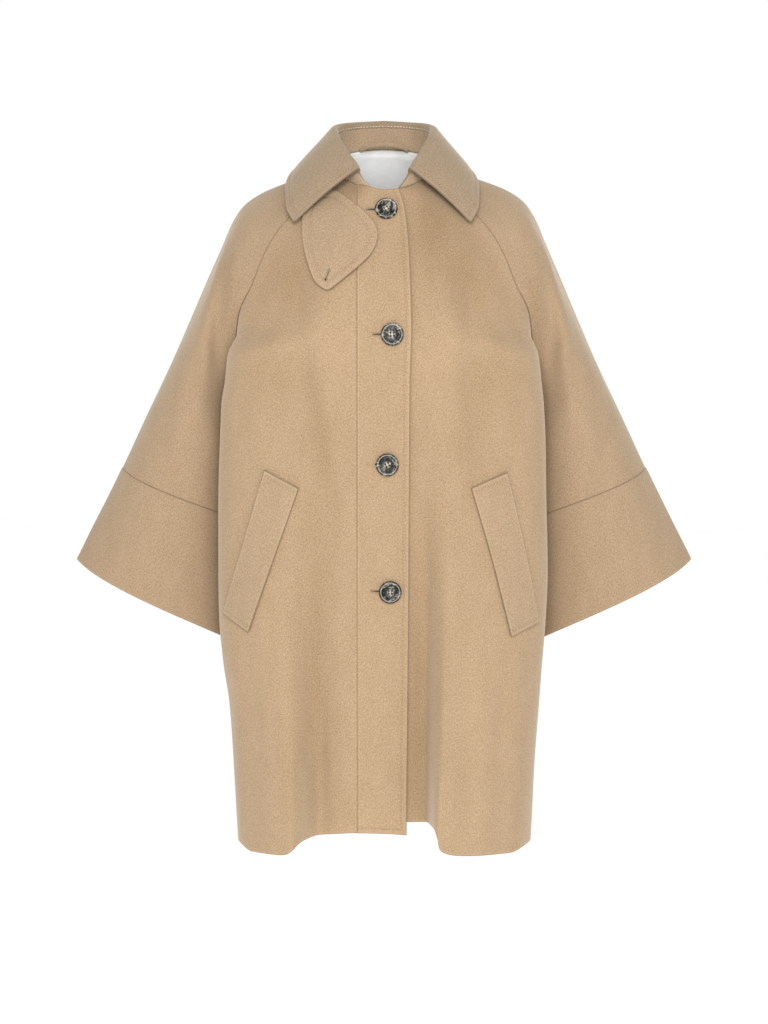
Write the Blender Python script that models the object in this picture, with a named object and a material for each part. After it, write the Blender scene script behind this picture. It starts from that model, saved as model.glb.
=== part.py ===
"""Camel wool coat with raglan sleeves, in its worn, hollow shape.

Metres, +Z up, the front faces -Y. The origin is in the middle of the neck,
where a wearer's neck and shoulders carry the coat. The wearer's right is -X.

Every cloth piece is a wall of even thickness on a grid of points. Its rows go
down the coat and its columns go round it. Headings are degrees from +X to +Y.
Lengths in the tables are millimetres and are scaled when a table is read.
"""

import math

import bmesh
import bpy
import numpy as np
from mathutils import Matrix, Vector
from mathutils.bvhtree import BVHTree

MM = 0.001

# Cloth and gaps
CLOTH = 2.4 * MM
CUFF_CLOTH = 3.4 * MM
PLACKET_CLOTH = 3.2 * MM
STAND_CLOTH = 3.0 * MM
LEAF_CLOTH = 3.0 * MM
TAB_CLOTH = 2.4 * MM
WELT_CLOTH = 2.8 * MM
LINING_CLOTH = 1.2 * MM
SEAM_GAP = 0.3 * MM
MITRE_LIMIT = 1.7
UNDERARM_PULL = 1.0 * MM
STAND_SEAM_GAP = 0.7 * MM

# How far each piece stands off the shared surface of the fronts
PLACKET_PROUD = 0.8 * MM
UNDERLAP_INSET = 5.6 * MM
UNDERLAP_FADE = 60 * MM
CUFF_PROUD = 1.1 * MM
CUFF_SEAM_STEP = 0.002
CUFF_BACK_DROP_RIGHT = 5 * MM
CUFF_BACK_DROP_LEFT = 10 * MM
CUFF_DROP_START = 1.4
CUFF_DROP_LEAN = (0.42, 0.0, -0.9)
TAB_CLEARANCE = 2.4 * MM
WELT_CLEARANCE_RIGHT = 2.1 * MM
WELT_CLEARANCE_LEFT = 0.9 * MM

# Closing
PLACKET_SEAM_X = 33 * MM
UNDERLAP_EDGE_X = 34 * MM

# Buttons
BUTTON_RADIUS = 14.2 * MM
BUTTON_THICKNESS = 3.6 * MM
BUTTON_WELL_RADIUS = 9.6 * MM
BUTTON_WELL_DEPTH = 1.3 * MM
BUTTON_HOLE_RADIUS = 1.15 * MM
BUTTON_HOLE_SPACING = 2.3 * MM
BUTTON_STANDOFF = 0.6 * MM
BUTTON_SEGMENTS = 24

# Rows: 0 is the neck, 1 the underarm, 2 the hem of the body or of the sleeve
RAGLAN_ROWS = (0.0, 0.1, 0.2, 0.3, 0.4, 0.5, 0.6, 0.69, 0.77, 0.85, 0.925, 1.0)
SIDE_ROWS = (1.04, 1.1, 1.18, 1.27, 1.36, 1.46, 1.56, 1.66, 1.75, 1.84, 1.92, 2.0)
SLEEVE_ROWS = (1.05, 1.16, 1.35, 1.55)
CUFF_ROWS = (1.55, 1.6, 1.8, 2.0)

# Columns: 0 is the front edge, 1 the side fold of the front, 2 the side seam
FRONT_RIGHT_COLUMNS = (0.0, 0.12, 0.24, 0.34, 0.42, 0.48, 0.53, 0.6, 0.69, 0.78, 0.87, 0.94, 1.0,
                       1.1, 1.25, 1.5, 1.75, 2.0)
FRONT_LEFT_COLUMNS = (0.0, 0.07, 0.12, 0.15, 0.18, 0.21, 0.24, 0.28, 0.34, 0.43, 0.54, 0.66, 0.77,
                      0.87, 0.94, 1.0, 1.1, 1.25, 1.5, 1.75, 2.0)
UNDERLAP_COLUMNS = 3
PLACKET_COLUMNS = (0.0, 0.52, 1.0, 1.55, 2.0)
BACK_COLUMNS = (0.0, 0.2, 0.4, 0.6, 0.8, 1.0, 1.2, 1.4, 1.6, 1.8, 2.0)
SLEEVE_COLUMNS = 8

# The sleeve's own form
SLEEVE_RISE = 0.28
SHOULDER_TILT = 2.2 * MM


def table(columns, *rows):
    """Read a table of millimetres and degrees into one array a column."""
    return {name: np.array([row[i] for row in rows], float) for i, name in enumerate(columns)}


SIDE_SEAM = table(
    ("down", "x", "y", "z"),
    (1.00, 182, 20, -292),
    (1.05, 178.5, 25, -320),
    (1.12, 176.5, 30, -358),
    (1.30, 176, 34, -458),
    (1.50, 177, 37, -569),
    (1.70, 181, 40, -680),
    (2.00, 187, 44, -868),
)

FRONT_RAGLAN = table(
    ("down", "x", "y", "z"),
    (0.00, 57, -38, -7),
    (0.12, 86, -54, -36),
    (0.25, 111, -63, -60),
    (0.37, 131, -69, -82),
    (0.50, 150, -73, -115),
    (0.62, 164, -72, -150),
    (0.75, 182, -58, -190),
    (0.84, 186, -38, -232),
    (0.92, 184.5, -12, -270),
    (1.00, 182, 20, -292),
)

BACK_RAGLAN = table(
    ("down", "x", "y", "z"),
    (0.00, 52, 40, 20),
    (0.12, 69, 62, -12),
    (0.25, 86, 83, -44),
    (0.37, 102, 97, -76),
    (0.50, 121, 107, -110),
    (0.62, 140, 109, -146),
    (0.75, 160, 101, -188),
    (0.84, 172, 84, -230),
    (0.92, 179, 55, -270),
    (1.00, 182, 20, -292),
)

OVERARM = table(
    ("down", "x", "y", "z"),
    (0.00, 66, 5, 9),
    (0.12, 96, 5, -8),
    (0.25, 128, 6, -19),
    (0.37, 157, 7, -31),
    (0.50, 178, 9, -45.5),
    (0.62, 192, 11, -65),
    (0.75, 208, 13, -101),
    (0.84, 225, 15, -139),
    (0.92, 245, 17.5, -185),
    (1.00, 269.8, 20.5, -241),
    (1.27, 305.7, 27, -315),
    (1.55, 337.7, 33, -382),
    (2.00, 398.6, 38, -502.4),
)

UNDERARM = table(
    ("down", "x", "y", "z"),
    (1.00, 182, 20, -292),
    (1.06, 186, 24, -316),
    (1.27, 187, 31, -372),
    (1.55, 187, 36, -451),
    (2.00, 191, 38, -611),
)

# The front section: its middle, its side fold and the heading at its seam
FRONT = table(
    ("down", "centre_y", "centre_z", "fold_x_right", "fold_x_left", "fold_y", "fold_heading",
     "seam_heading"),
    (0.00, -80, -33, 46, 46, -57, 45, 62),
    (0.12, -91, -59, 62, 62, -76, 32, 46),
    (0.25, -103, -87, 76, 76, -89, 28, 40),
    (0.37, -116, -115, 88, 88, -100, 27, 37),
    (0.50, -127, -150, 102, 102, -107, 28, 34),
    (0.62, -131, -186, 120, 120, -106, 31, 38),
    (0.75, -132, -222, 158, 158, -91, 46, 68),
    (0.84, -133, -248, 194, 192, -67, 80, 88),
    (0.92, -133, -274, 199, 197, -60, 87, 92),
    (1.00, -133, -300, 203.5, 200, -54, 90, 90),
    (1.10, -134, -347, 206, 203, -52, 90, 92),
    (1.25, -137, -430, 208.5, 204.5, -50, 90, 92),
    (1.40, -140, -514, 209, 206.5, -50, 90, 90),
    (1.50, -142, -569, 208, 204.5, -48, 90, 90),
    (1.60, -144, -624, 203.5, 200.5, -46, 90, 90),
    (1.70, -146, -680, 195.5, 197, -42, 90, 90),
    (1.85, -148, -767, 190.5, 190.5, -40, 90, 90),
    (2.00, -151, -854, 186, 187, -38, 90, 90),
)

BACK = table(
    ("down", "centre_y", "centre_z", "fold_x", "fold_y", "fold_heading", "seam_heading"),
    (0.00, 58, 26, 28, 54, -16, -42),
    (0.12, 69, -2, 40, 68, -6, -22),
    (0.25, 90, -42, 50, 90, -4, -18),
    (0.37, 106, -78, 60, 105, -3, -18),
    (0.50, 117, -116, 75, 115, -5, -22),
    (0.62, 124, -155, 90, 120, -8, -28),
    (0.75, 128, -196, 112, 120, -14, -42),
    (0.84, 129, -232, 132, 116, -24, -66),
    (0.92, 129, -266, 150, 105, -38, -80),
    (1.00, 129, -296, 164, 88, -52, -88),
    (1.10, 129, -347, 167, 86, -58, -91),
    (1.30, 131, -458, 168, 88, -58, -90),
    (1.60, 136, -624, 180, 92, -60, -90),
    (2.00, 148, -854, 187, 92, -68, -90),
)

# Where the sleeve's cloth leaves its seam and its overarm line, and how far it reaches
SLEEVE_FRONT = table(
    ("down", "seam_heading", "over_heading", "reach"),
    (0.00, 68, -90, 0.36),
    (0.12, 48, -90, 0.38),
    (0.25, 40, -90, 0.40),
    (0.50, 34, -90, 0.42),
    (0.62, 26, -91, 0.42),
    (0.75, -4, -92, 0.46),
    (0.84, -22, -93, 0.56),
    (0.92, -46, -94, 0.70),
    (1.00, -66, -95, 0.82),
    (1.27, -80, -98, 0.66),
    (1.55, -72, -105, 0.51),
    (2.00, -62, -118, 0.36),
)

SLEEVE_BACK = table(
    ("down", "seam_heading", "over_heading", "reach"),
    (0.00, -48, 90, 0.36),
    (0.12, -24, 90, 0.40),
    (0.25, -18, 90, 0.42),
    (0.50, -22, 90, 0.44),
    (0.62, -24, 91, 0.44),
    (0.75, -2, 92, 0.48),
    (0.84, 16, 93, 0.58),
    (0.92, 42, 94, 0.74),
    (1.00, 66, 95, 0.90),
    (1.27, 80, 98, 0.70),
    (1.55, 72, 105, 0.53),
    (2.00, 62, 118, 0.35),
)

# The edge of the placket, measured from the middle of the front
PLACKET_EDGE = table(
    ("down", "x"),
    (0.00, 18.4),
    (0.12, 26),
    (0.30, 30.3),
    (0.45, 32.2),
    (0.70, 34),
    (0.90, 32.2),
    (1.10, 31.6),
    (1.45, 30.7),
    (2.00, 28.3),
)

# The hollow that the closing falls into towards the hem
VALLEY = table(
    ("down", "depth", "left_start", "left_end", "right_half_width"),
    (0.98, 0, -150, -50, 16),
    (1.18, 5, -146, -54, 15),
    (1.36, 14, -140, -60, 14),
    (1.55, 26, -132, -66, 13),
    (1.75, 41, -125, -72, 11),
    (2.00, 57, -118, -78, 9.5),
)
VALLEY_RIGHT_FRACTION = 0.187

# How far the hem rises where the closing lies further back, and at the side folds
HEM_LIFT_START = 1.55
HEM_LIFT_OVERLAP = table(
    ("x", "lift"),
    (-128, 0),
    (-122, 1.3),
    (-117, 3.8),
    (-112, 7),
    (-107, 11.4),
    (-100, 14.4),
    (-81, 15.4),
    (-60, 17.7),
    (-35, 19),
    (0, 18.4),
    (30, 16.3),
)
HEM_LIFT_UNDERLAP = table(
    ("x", "lift"),
    (-34, 30),
    (60, 30),
    (64, 22),
    (69, 9),
    (76, 4.5),
    (90, 1.5),
    (112, 0),
)
HEM_CORNER_START = 1.88
HEM_CORNER_LIFT = 8 * MM

# Soft folds that hang down the body: place along X at top and bottom, depth inwards
FRONT_FOLDS = table(
    ("x_top", "x_bottom", "z_top", "z_bottom", "half_width", "depth"),
    (100, 122, -110, -400, 34, 5),
    (-100, -128, -110, -420, 36, 4.5),
    (150, 140, -560, -900, 26, 5),
    (-168, -160, -560, -900, 24, 5),
)

BACK_FOLDS = table(
    ("x_top", "x_bottom", "z_top", "z_bottom", "half_width", "depth"),
    (-60, -96, -200, -1000, 44, 15),
    (52, 84, -220, -1000, 42, 14),
    (-2, -8, -420, -1020, 34, -9),
    (128, 146, -380, -980, 26, -7),
    (-132, -150, -400, -980, 26, -7),
)

# Round the neck from the middle of the back (0) to the front end (1)
COLLAR = table(
    ("round", "top_x", "top_y", "top_z", "edge_x", "edge_y", "edge_z", "bulge"),
    (0.00, 0, 62, 55, 0, 89, -9, 4),
    (0.20, 30, 57, 53, 50, 88, -9, 4),
    (0.38, 54, 36, 48.6, 92, 66, -9, 3),
    (0.53, 62, 8, 41.6, 117, 14, -7, 1.5),
    (0.68, 59, -22, 29, 124, -38, -26, 3),
    (0.84, 47, -52, 6, 122, -70, -53, 5),
    (1.00, 32, -72, -14, 112, -86, -74, 4),
)
ROLL_ROWS = table(
    ("out", "up"),
    (0.0, 0.6),
    (0.4, 4.8),
    (4.2, 8.6),
    (9.2, 6.8),
)
LEAF_FALL_ROWS = (0.22, 0.46, 0.72, 1.0)
STAND_ROWS = 2
STAND_BOW = 1.5 * MM
LEAF_COLUMNS = 33
LEAF_LEFT_SPREAD = 0.965

THROAT_TAB = table(
    ("z", "x_left", "x_right"),
    (-34, -84, -60),
    (-41, -90, -49.5),
    (-49, -95, -39),
    (-57, -98, -29),
    (-64, -100.2, -21.8),
    (-72, -100.8, -14.4),
    (-83, -100.8, -8.7),
    (-92, -100.3, -7.6),
    (-101, -99, -9.3),
    (-112, -97, -14),
    (-127, -92.5, -27.5),
    (-140, -88, -42.3),
    (-149, -83, -53.5),
    (-155.5, -76, -61.5),
    (-159, -70.5, -66),
)
TAB_ROWS = 14
TAB_COLUMNS = 9

# Corners of each slanted pocket welt: height and place along X, from its top
WELTS = {
    "pocket_welt_right": table(
        ("along", "inner_x", "inner_z", "outer_x", "outer_z"),
        (0.0, -104.2, -400.5, -147, -378),
        (0.5, -135.7, -490, -173.5, -469),
        (1.0, -167, -580, -200, -558),
    ),
    "pocket_welt_left": table(
        ("along", "inner_x", "inner_z", "outer_x", "outer_z"),
        (0.0, 106.3, -400, 151.5, -381),
        (0.5, 132.8, -492, 173.5, -473),
        (1.0, 156.4, -585, 192.5, -569),
    ),
}
WELT_ROWS = 9
WELT_COLUMNS = (0.0, 0.3, 0.56, 0.74, 0.86, 0.93, 0.97, 1.0)

BUTTONS = table(
    ("x", "z"),
    (2.9, -58.5),
    (10.1, -212),
    (4.1, -371),
    (7.7, -528),
)

# Hanger loop: half its length along the neck, how far it stands off, its strip
LOOP_HALF_LENGTH = 31 * MM
LOOP_STANDOFF = 9 * MM
LOOP_WIDTH = 5 * MM
LOOP_THICKNESS = 2.4 * MM
LOOP_RISE = 8 * MM
LOOP_SEGMENTS = 12
LOOP_END_Y = 48.2 * MM
LOOP_END_Z = 24.6 * MM

# The part of the lining that shows below the back neck
LINING_ROWS = (0.03, 0.1, 0.2, 0.32, 0.45)
LINING_INSET = 3.6 * MM
LINING_COLUMNS = (0.0, 0.35, 0.7, 1.0, 1.3, 1.6, 1.8)


# Interpolation and curves

def at(data, column, key, where):
    """Interpolate one column of a table with a cubic that doesn't overshoot."""
    xs = data[key]
    ys = data[column]
    where = np.clip(np.asarray(where, float), xs[0], xs[-1])
    steps = np.diff(xs)
    slopes = np.diff(ys) / steps
    tangents = np.zeros(len(xs))
    for i in range(1, len(xs) - 1):
        if slopes[i - 1] * slopes[i] > 0:
            first = 2 * steps[i] + steps[i - 1]
            second = steps[i] + 2 * steps[i - 1]
            tangents[i] = (first + second) / (first / slopes[i - 1] + second / slopes[i])
    tangents[0] = slopes[0]
    tangents[-1] = slopes[-1]
    cell = np.clip(np.searchsorted(xs, where, side="right") - 1, 0, len(xs) - 2)
    step = steps[cell]
    part = (where - xs[cell]) / step
    return (
        ys[cell] * (1 + 2 * part) * (1 - part) ** 2
        + tangents[cell] * step * part * (1 - part) ** 2
        + ys[cell + 1] * part ** 2 * (3 - 2 * part)
        - tangents[cell + 1] * step * part ** 2 * (1 - part)
    )


def point_at(data, down):
    """A point of a seam, in metres."""
    return np.array([float(at(data, axis, "down", down)) for axis in "xyz"]) * MM


def smoothstep(low, high, value):
    """0 below low, 1 above high, smooth between them."""
    part = np.clip((value - low) / (high - low), 0.0, 1.0)
    return part * part * (3 - 2 * part)


def heading(degrees):
    """A unit vector in the horizontal plane."""
    return np.array([math.cos(math.radians(degrees)), math.sin(math.radians(degrees))])


def bezier(points, count):
    """Points along a cubic Bezier curve."""
    t = np.linspace(0.0, 1.0, count)[:, None]
    a, b, c, d = (np.asarray(point, float) for point in points)
    return (1 - t) ** 3 * a + 3 * t * (1 - t) ** 2 * b + 3 * t ** 2 * (1 - t) * c + t ** 3 * d


def swept(start, start_heading, end, end_heading, fullness=0.6, count=41):
    """A flat curve that leaves and arrives on two headings."""
    leave = heading(start_heading)
    arrive = heading(end_heading)
    chord = np.subtract(end, start)
    first = start + leave * fullness * abs(chord @ leave)
    second = end - arrive * fullness * abs(chord @ arrive)
    return bezier((start, first, second, end), count)


def lengths_along(points):
    """Distance along a polyline, from 0 to 1."""
    steps = np.linalg.norm(np.diff(points, axis=0), axis=1)
    run = np.concatenate([[0.0], np.cumsum(steps)])
    return run / run[-1]


# Body surfaces

def front_curve(side, down):
    """Half a front section: from the middle to the side fold, then to its seam."""
    seam = seam_point(FRONT_RAGLAN, down)
    fold_column = "fold_x_right" if side < 0 else "fold_x_left"
    middle = np.array([0.0, at(FRONT, "centre_y", "down", down) * MM])
    fold = np.array([at(FRONT, fold_column, "down", down), at(FRONT, "fold_y", "down", down)]) * MM
    turn = float(at(FRONT, "fold_heading", "down", down))
    arrive = float(at(FRONT, "seam_heading", "down", down))
    return (
        swept(middle, 0.0, fold, turn),
        swept(fold, turn, seam[:2], arrive, fullness=0.45),
        float(at(FRONT, "centre_z", "down", down)) * MM,
        seam[2],
    )


def seam_point(raglan, down):
    """The edge of a body panel: its raglan seam, then the side seam."""
    return point_at(raglan if down <= 1.0 else SIDE_SEAM, down)


def soft_folds(folds, x, z):
    """Depth of the soft folds at a place on the body."""
    depth = 0.0
    for i in range(len(folds["depth"])):
        run = (folds["z_top"][i] * MM - z) / ((folds["z_top"][i] - folds["z_bottom"][i]) * MM)
        middle = (folds["x_top"][i] + (folds["x_bottom"][i] - folds["x_top"][i]) * run) * MM
        across = 1.0 - smoothstep(0.0, 1.0, abs(x - middle) / (folds["half_width"][i] * MM))
        along = math.sin(math.pi * min(max(run, 0.0), 1.0))
        depth += folds["depth"][i] * MM * across * along
    return depth


def valley(down, x, fold_x):
    """Depth of the hollow at the closing."""
    if down <= VALLEY["down"][0]:
        return 0.0
    depth = float(at(VALLEY, "depth", "down", down)) * MM
    left = smoothstep(at(VALLEY, "left_start", "down", down) * MM,
                      at(VALLEY, "left_end", "down", down) * MM, x)
    edge = float(at(PLACKET_EDGE, "x", "down", down)) * MM
    middle = edge + VALLEY_RIGHT_FRACTION * (fold_x - edge)
    half = float(at(VALLEY, "right_half_width", "down", down)) * MM
    return depth * float(left) * float(1.0 - smoothstep(middle - half, middle + half, x))


def hem_lift(down, x, station, underlap):
    """The hem rises where the closing lies further back and round the side fold."""
    rise = float(smoothstep(HEM_LIFT_START, 2.0, down)) ** 2
    lift = HEM_LIFT_UNDERLAP if underlap else HEM_LIFT_OVERLAP
    corner = smoothstep(0.87, 1.0, station) * (1.0 - smoothstep(1.0, 1.6, station))
    corner = float(corner * smoothstep(HEM_CORNER_START, 2.0, down)) * HEM_CORNER_LIFT
    return rise * float(at(lift, "lift", "x", x / MM)) * MM + corner


def front_row(side, down, stations, edge_x, underlap=False):
    """Points of a front at one row. A station of 1 is the side fold, 2 the seam."""
    inner, outer, centre_z, seam_z = front_curve(side, down)
    fold_x = inner[-1, 0]
    outer_run = lengths_along(outer)
    inner_length = np.linalg.norm(np.diff(inner, axis=0), axis=1).sum()
    outer_length = np.linalg.norm(np.diff(outer, axis=0), axis=1).sum()
    inner_run = lengths_along(inner)
    points = []
    for station in stations:
        if station <= 1.0:
            x = edge_x + station * (fold_x - edge_x)
            y = np.interp(abs(x), inner[:, 0], inner[:, 1])
            travelled = np.interp(max(x, 0.0), inner[:, 0], inner_run) * inner_length
        else:
            part = station - 1.0
            x = np.interp(part, outer_run, outer[:, 0])
            y = np.interp(part, outer_run, outer[:, 1])
            travelled = inner_length + part * outer_length
        progress = travelled / (inner_length + outer_length)
        z = centre_z + (seam_z - centre_z) * progress ** 2
        real_x = side * x
        hold = 1.0 if station <= 1.0 else 1.0 - smoothstep(1.0, 1.8, station)
        y += valley(down, real_x, fold_x) + hold * soft_folds(FRONT_FOLDS, real_x, z)
        z += hem_lift(down, real_x, station, underlap)
        if underlap:
            edge = float(at(PLACKET_EDGE, "x", "down", down)) * MM
            fade = min(UNDERLAP_FADE, 0.92 * (fold_x - edge))
            y += UNDERLAP_INSET * (1.0 - smoothstep(edge + 2 * MM, edge + fade, real_x))
        points.append((real_x, y, z))
    return np.array(points)


def back_row(down, stations):
    """Points of the right half of the back at one row, from the middle out."""
    seam = seam_point(BACK_RAGLAN, down)
    middle = np.array([0.0, at(BACK, "centre_y", "down", down) * MM])
    fold = np.array([at(BACK, "fold_x", "down", down), at(BACK, "fold_y", "down", down)]) * MM
    turn = float(at(BACK, "fold_heading", "down", down))
    inner = swept(middle, 0.0, fold, turn)
    outer = swept(fold, turn, seam[:2], float(at(BACK, "seam_heading", "down", down)), 0.5)
    curve = np.vstack([inner, outer[1:]])
    run = lengths_along(curve)
    centre_z = float(at(BACK, "centre_z", "down", down)) * MM
    points = []
    for station in stations:
        part = station / 2.0
        x = np.interp(part, run, curve[:, 0])
        y = np.interp(part, run, curve[:, 1])
        z = centre_z + (seam[2] - centre_z) * part ** 2
        points.append((x, y, z))
    return np.array(points)


def back_grid():
    """The whole back, from its left seam to its right seam."""
    grid = []
    for down in RAGLAN_ROWS + SIDE_ROWS:
        half = back_row(down, BACK_COLUMNS)
        mirrored = half[::-1] * (-1, 1, 1)
        row = np.vstack([mirrored, half[1:]])
        for point in row[1:-1]:
            point[1] -= soft_folds(BACK_FOLDS, point[0], point[2])
        grid.append(row)
    return np.array(grid)


def sleeve_row(side, down, seam, shape, count=33):
    """Points of half a sleeve at one row, from the overarm line to its seam."""
    over = point_at(OVERARM, down)
    over[2] += side * SHOULDER_TILT * math.sin(math.pi * min(down, 1.0))
    reach = float(at(shape, "reach", "down", down)) * np.linalg.norm(over - seam)
    leave = heading(float(at(shape, "over_heading", "down", down))) * reach
    arrive = heading(float(at(shape, "seam_heading", "down", down))) * reach
    rise = SLEEVE_RISE * (seam[2] - over[2])
    first = over + (leave[0], leave[1], rise)
    second = seam + (arrive[0], arrive[1], -rise)
    curve = bezier((over, first, second, seam), count)
    run = lengths_along(curve)
    wanted = np.linspace(0.0, 1.0, SLEEVE_COLUMNS + 1)
    row = np.array([[np.interp(part, run, curve[:, axis]) for axis in range(3)] for part in wanted])
    return row * (side, 1, 1)


def sleeve_grid(side, raglan, shape, rows):
    """Half a sleeve over the given rows."""
    drops = raglan is BACK_RAGLAN
    drop = CUFF_BACK_DROP_RIGHT if side < 0 else CUFF_BACK_DROP_LEFT
    grid = []
    for down in rows:
        seam = point_at(raglan if down <= 1.0 else UNDERARM, down)
        row = sleeve_row(side, down, seam, shape)
        if drops and down > 1.0:
            bow = np.sin(np.linspace(0.0, math.pi, SLEEVE_COLUMNS + 1)) * drop
            bow = bow * smoothstep(CUFF_DROP_START, 2.0, down)
            row += bow[:, None] * CUFF_DROP_LEAN * (side, 1, 1)
        grid.append(row)
    return np.array(grid)


# Walls

def grid_normals(grid, closed=False):
    """Unit normals of a grid of points, out of its rows times its columns."""
    if closed:
        across = np.roll(grid, -1, axis=1) - np.roll(grid, 1, axis=1)
    else:
        across = np.gradient(grid, axis=1)
    along = np.gradient(grid, axis=0)
    normals = np.cross(across, along)
    return normals / np.linalg.norm(normals, axis=2, keepdims=True)


def unit(vector):
    """The vector at length 1."""
    length = np.linalg.norm(vector)
    return vector / length if length > 1e-12 else vector


class Panel:
    """A cloth piece: its outer grid, its thickness and where it meets others."""

    def __init__(self, name, grid, cloth, flip, corner=(0, 0), proud=0.0, gap=SEAM_GAP):
        self.name = name
        self.grid = grid
        self.depth = cloth - proud
        self.proud = proud
        self.normals = grid_normals(grid) * (-1.0 if flip else 1.0)
        self.flip = flip
        self.corner = corner
        self.gap = gap
        self.inner = None


def border_edges(i, j, rows, columns):
    """Which border runs a grid point lies on, as steps along them."""
    runs = []
    if j in (0, columns - 1):
        runs.append((1, 0))
    if i in (0, rows - 1):
        runs.append((0, 1))
    return runs


def join_panels(panels):
    """Give panels that share border points one mitred wall line and a seam gap."""
    shared = {}
    for panel in panels:
        rows, columns = panel.grid.shape[:2]
        for i in range(rows):
            for j in range(columns):
                if border_edges(i, j, rows, columns):
                    key = tuple(np.round(panel.grid[i, j] / (0.02 * MM)).astype(int))
                    shared.setdefault(key, []).append((panel, i, j))
    for panel in panels:
        panel.inner = panel.grid - panel.normals * panel.depth
        panel.outer = panel.grid + panel.normals * panel.proud
    for meeting in shared.values():
        names = {panel.name for panel, _, _ in meeting}
        if len(names) < 2:
            continue
        underarm = len(names) >= 4
        mean = unit(sum(panel.normals[i, j] for panel, i, j in meeting))
        if underarm:
            mean = np.array([0.0, 0.0, -1.0])
        for panel, i, j in meeting:
            lean = max(float(mean @ panel.normals[i, j]), 1.0 / MITRE_LIMIT)
            across = mean / lean
            inner_pull = pull = seam_pull(panel, i, j, mean, shared)
            if underarm:
                toward = np.array([panel.corner[0] * np.sign(panel.grid[i, j, 0]), panel.corner[1], 0])
                pull = toward * SEAM_GAP
                inner_pull = toward * UNDERARM_PULL
            panel.outer[i, j] = panel.grid[i, j] + across * panel.proud + pull
            panel.inner[i, j] = panel.grid[i, j] - across * panel.depth + inner_pull


def seam_pull(panel, i, j, mean, shared):
    """Half a seam gap away from each seam that runs through a border point."""
    rows, columns = panel.grid.shape[:2]
    point = panel.grid[i, j]
    pull = np.zeros(3)
    for step_i, step_j in border_edges(i, j, rows, columns):
        ahead = panel.grid[min(i + step_i, rows - 1), min(j + step_j, columns - 1)]
        behind = panel.grid[max(i - step_i, 0), max(j - step_j, 0)]
        in_i = i + (1 if i == 0 else -1) * step_j
        in_j = j + (1 if j == 0 else -1) * step_i
        into = panel.grid[in_i, in_j] - point
        away = unit(np.cross(mean, ahead - behind))
        if away @ into < 0:
            away = -away
        if meets_across(panel, i, j, step_i, step_j, shared):
            pull = pull + away * panel.gap / 2
    return pull


def meets_across(panel, i, j, step_i, step_j, shared):
    """Whether the border run through a point is a seam with another panel."""
    rows, columns = panel.grid.shape[:2]
    for sign in (-1, 1):
        next_i = i + sign * step_i
        next_j = j + sign * step_j
        if 0 <= next_i < rows and 0 <= next_j < columns:
            key = tuple(np.round(panel.grid[next_i, next_j] / (0.02 * MM)).astype(int))
            if len({other.name for other, _, _ in shared.get(key, [])}) > 1:
                return True
    return False


def wall_mesh(name, outer, inner, flip, closed, material):
    """A closed body between two grids of points."""
    rows, columns = outer.shape[:2]
    count = rows * columns
    corners = np.concatenate([outer.reshape(-1, 3), inner.reshape(-1, 3)])

    def out(i, j):
        return i * columns + j % columns

    def back(i, j):
        return count + out(i, j)

    faces = []
    for i in range(rows - 1):
        for j in range(columns if closed else columns - 1):
            faces.append((out(i, j), out(i, j + 1), out(i + 1, j + 1)))
            faces.append((out(i, j), out(i + 1, j + 1), out(i + 1, j)))
            faces.append((back(i, j), back(i + 1, j + 1), back(i, j + 1)))
            faces.append((back(i, j), back(i + 1, j), back(i + 1, j + 1)))
    last_row = rows - 1
    last = columns - 1
    borders = []
    for j in range(columns if closed else columns - 1):
        borders.append((out(0, j), out(0, j + 1), back(0, j), back(0, j + 1), True))
        borders.append((out(last_row, j), out(last_row, j + 1),
                        back(last_row, j), back(last_row, j + 1), False))
    if not closed:
        for i in range(rows - 1):
            borders.append((out(i, 0), out(i + 1, 0), back(i, 0), back(i + 1, 0), False))
            borders.append((out(i, last), out(i + 1, last), back(i, last), back(i + 1, last), True))
    for border in borders:
        faces.extend(rim(corners, *border))
    if flip:
        faces = [face[::-1] for face in faces]
    mesh = bpy.data.meshes.new(name)
    mesh.from_pydata(corners.tolist(), [], faces)
    mesh.validate()
    mesh.update()
    piece = bpy.data.objects.new(name, mesh)
    bpy.context.scene.collection.objects.link(piece)
    mesh.materials.append(material)
    return piece


def rim(corners, outer_a, outer_b, inner_a, inner_b, turn):
    """Two triangles that close a wall, split along the shorter diagonal."""
    first = np.linalg.norm(corners[outer_a] - corners[inner_b])
    second = np.linalg.norm(corners[outer_b] - corners[inner_a])
    if first < second:
        faces = [(outer_a, inner_b, outer_b), (outer_a, inner_a, inner_b)]
    else:
        faces = [(outer_a, inner_a, outer_b), (inner_a, inner_b, outer_b)]
    if not turn:
        faces = [face[::-1] for face in faces]
    return faces


# Materials

def paint(name, colour, roughness, metallic=0.0):
    """A plain Principled material."""
    material = bpy.data.materials.new(name)
    material.use_nodes = True
    shader = material.node_tree.nodes["Principled BSDF"]
    shader.inputs["Base Color"].default_value = (*colour, 1.0)
    shader.inputs["Roughness"].default_value = roughness
    shader.inputs["Metallic"].default_value = metallic
    return material


# Pieces

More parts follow.
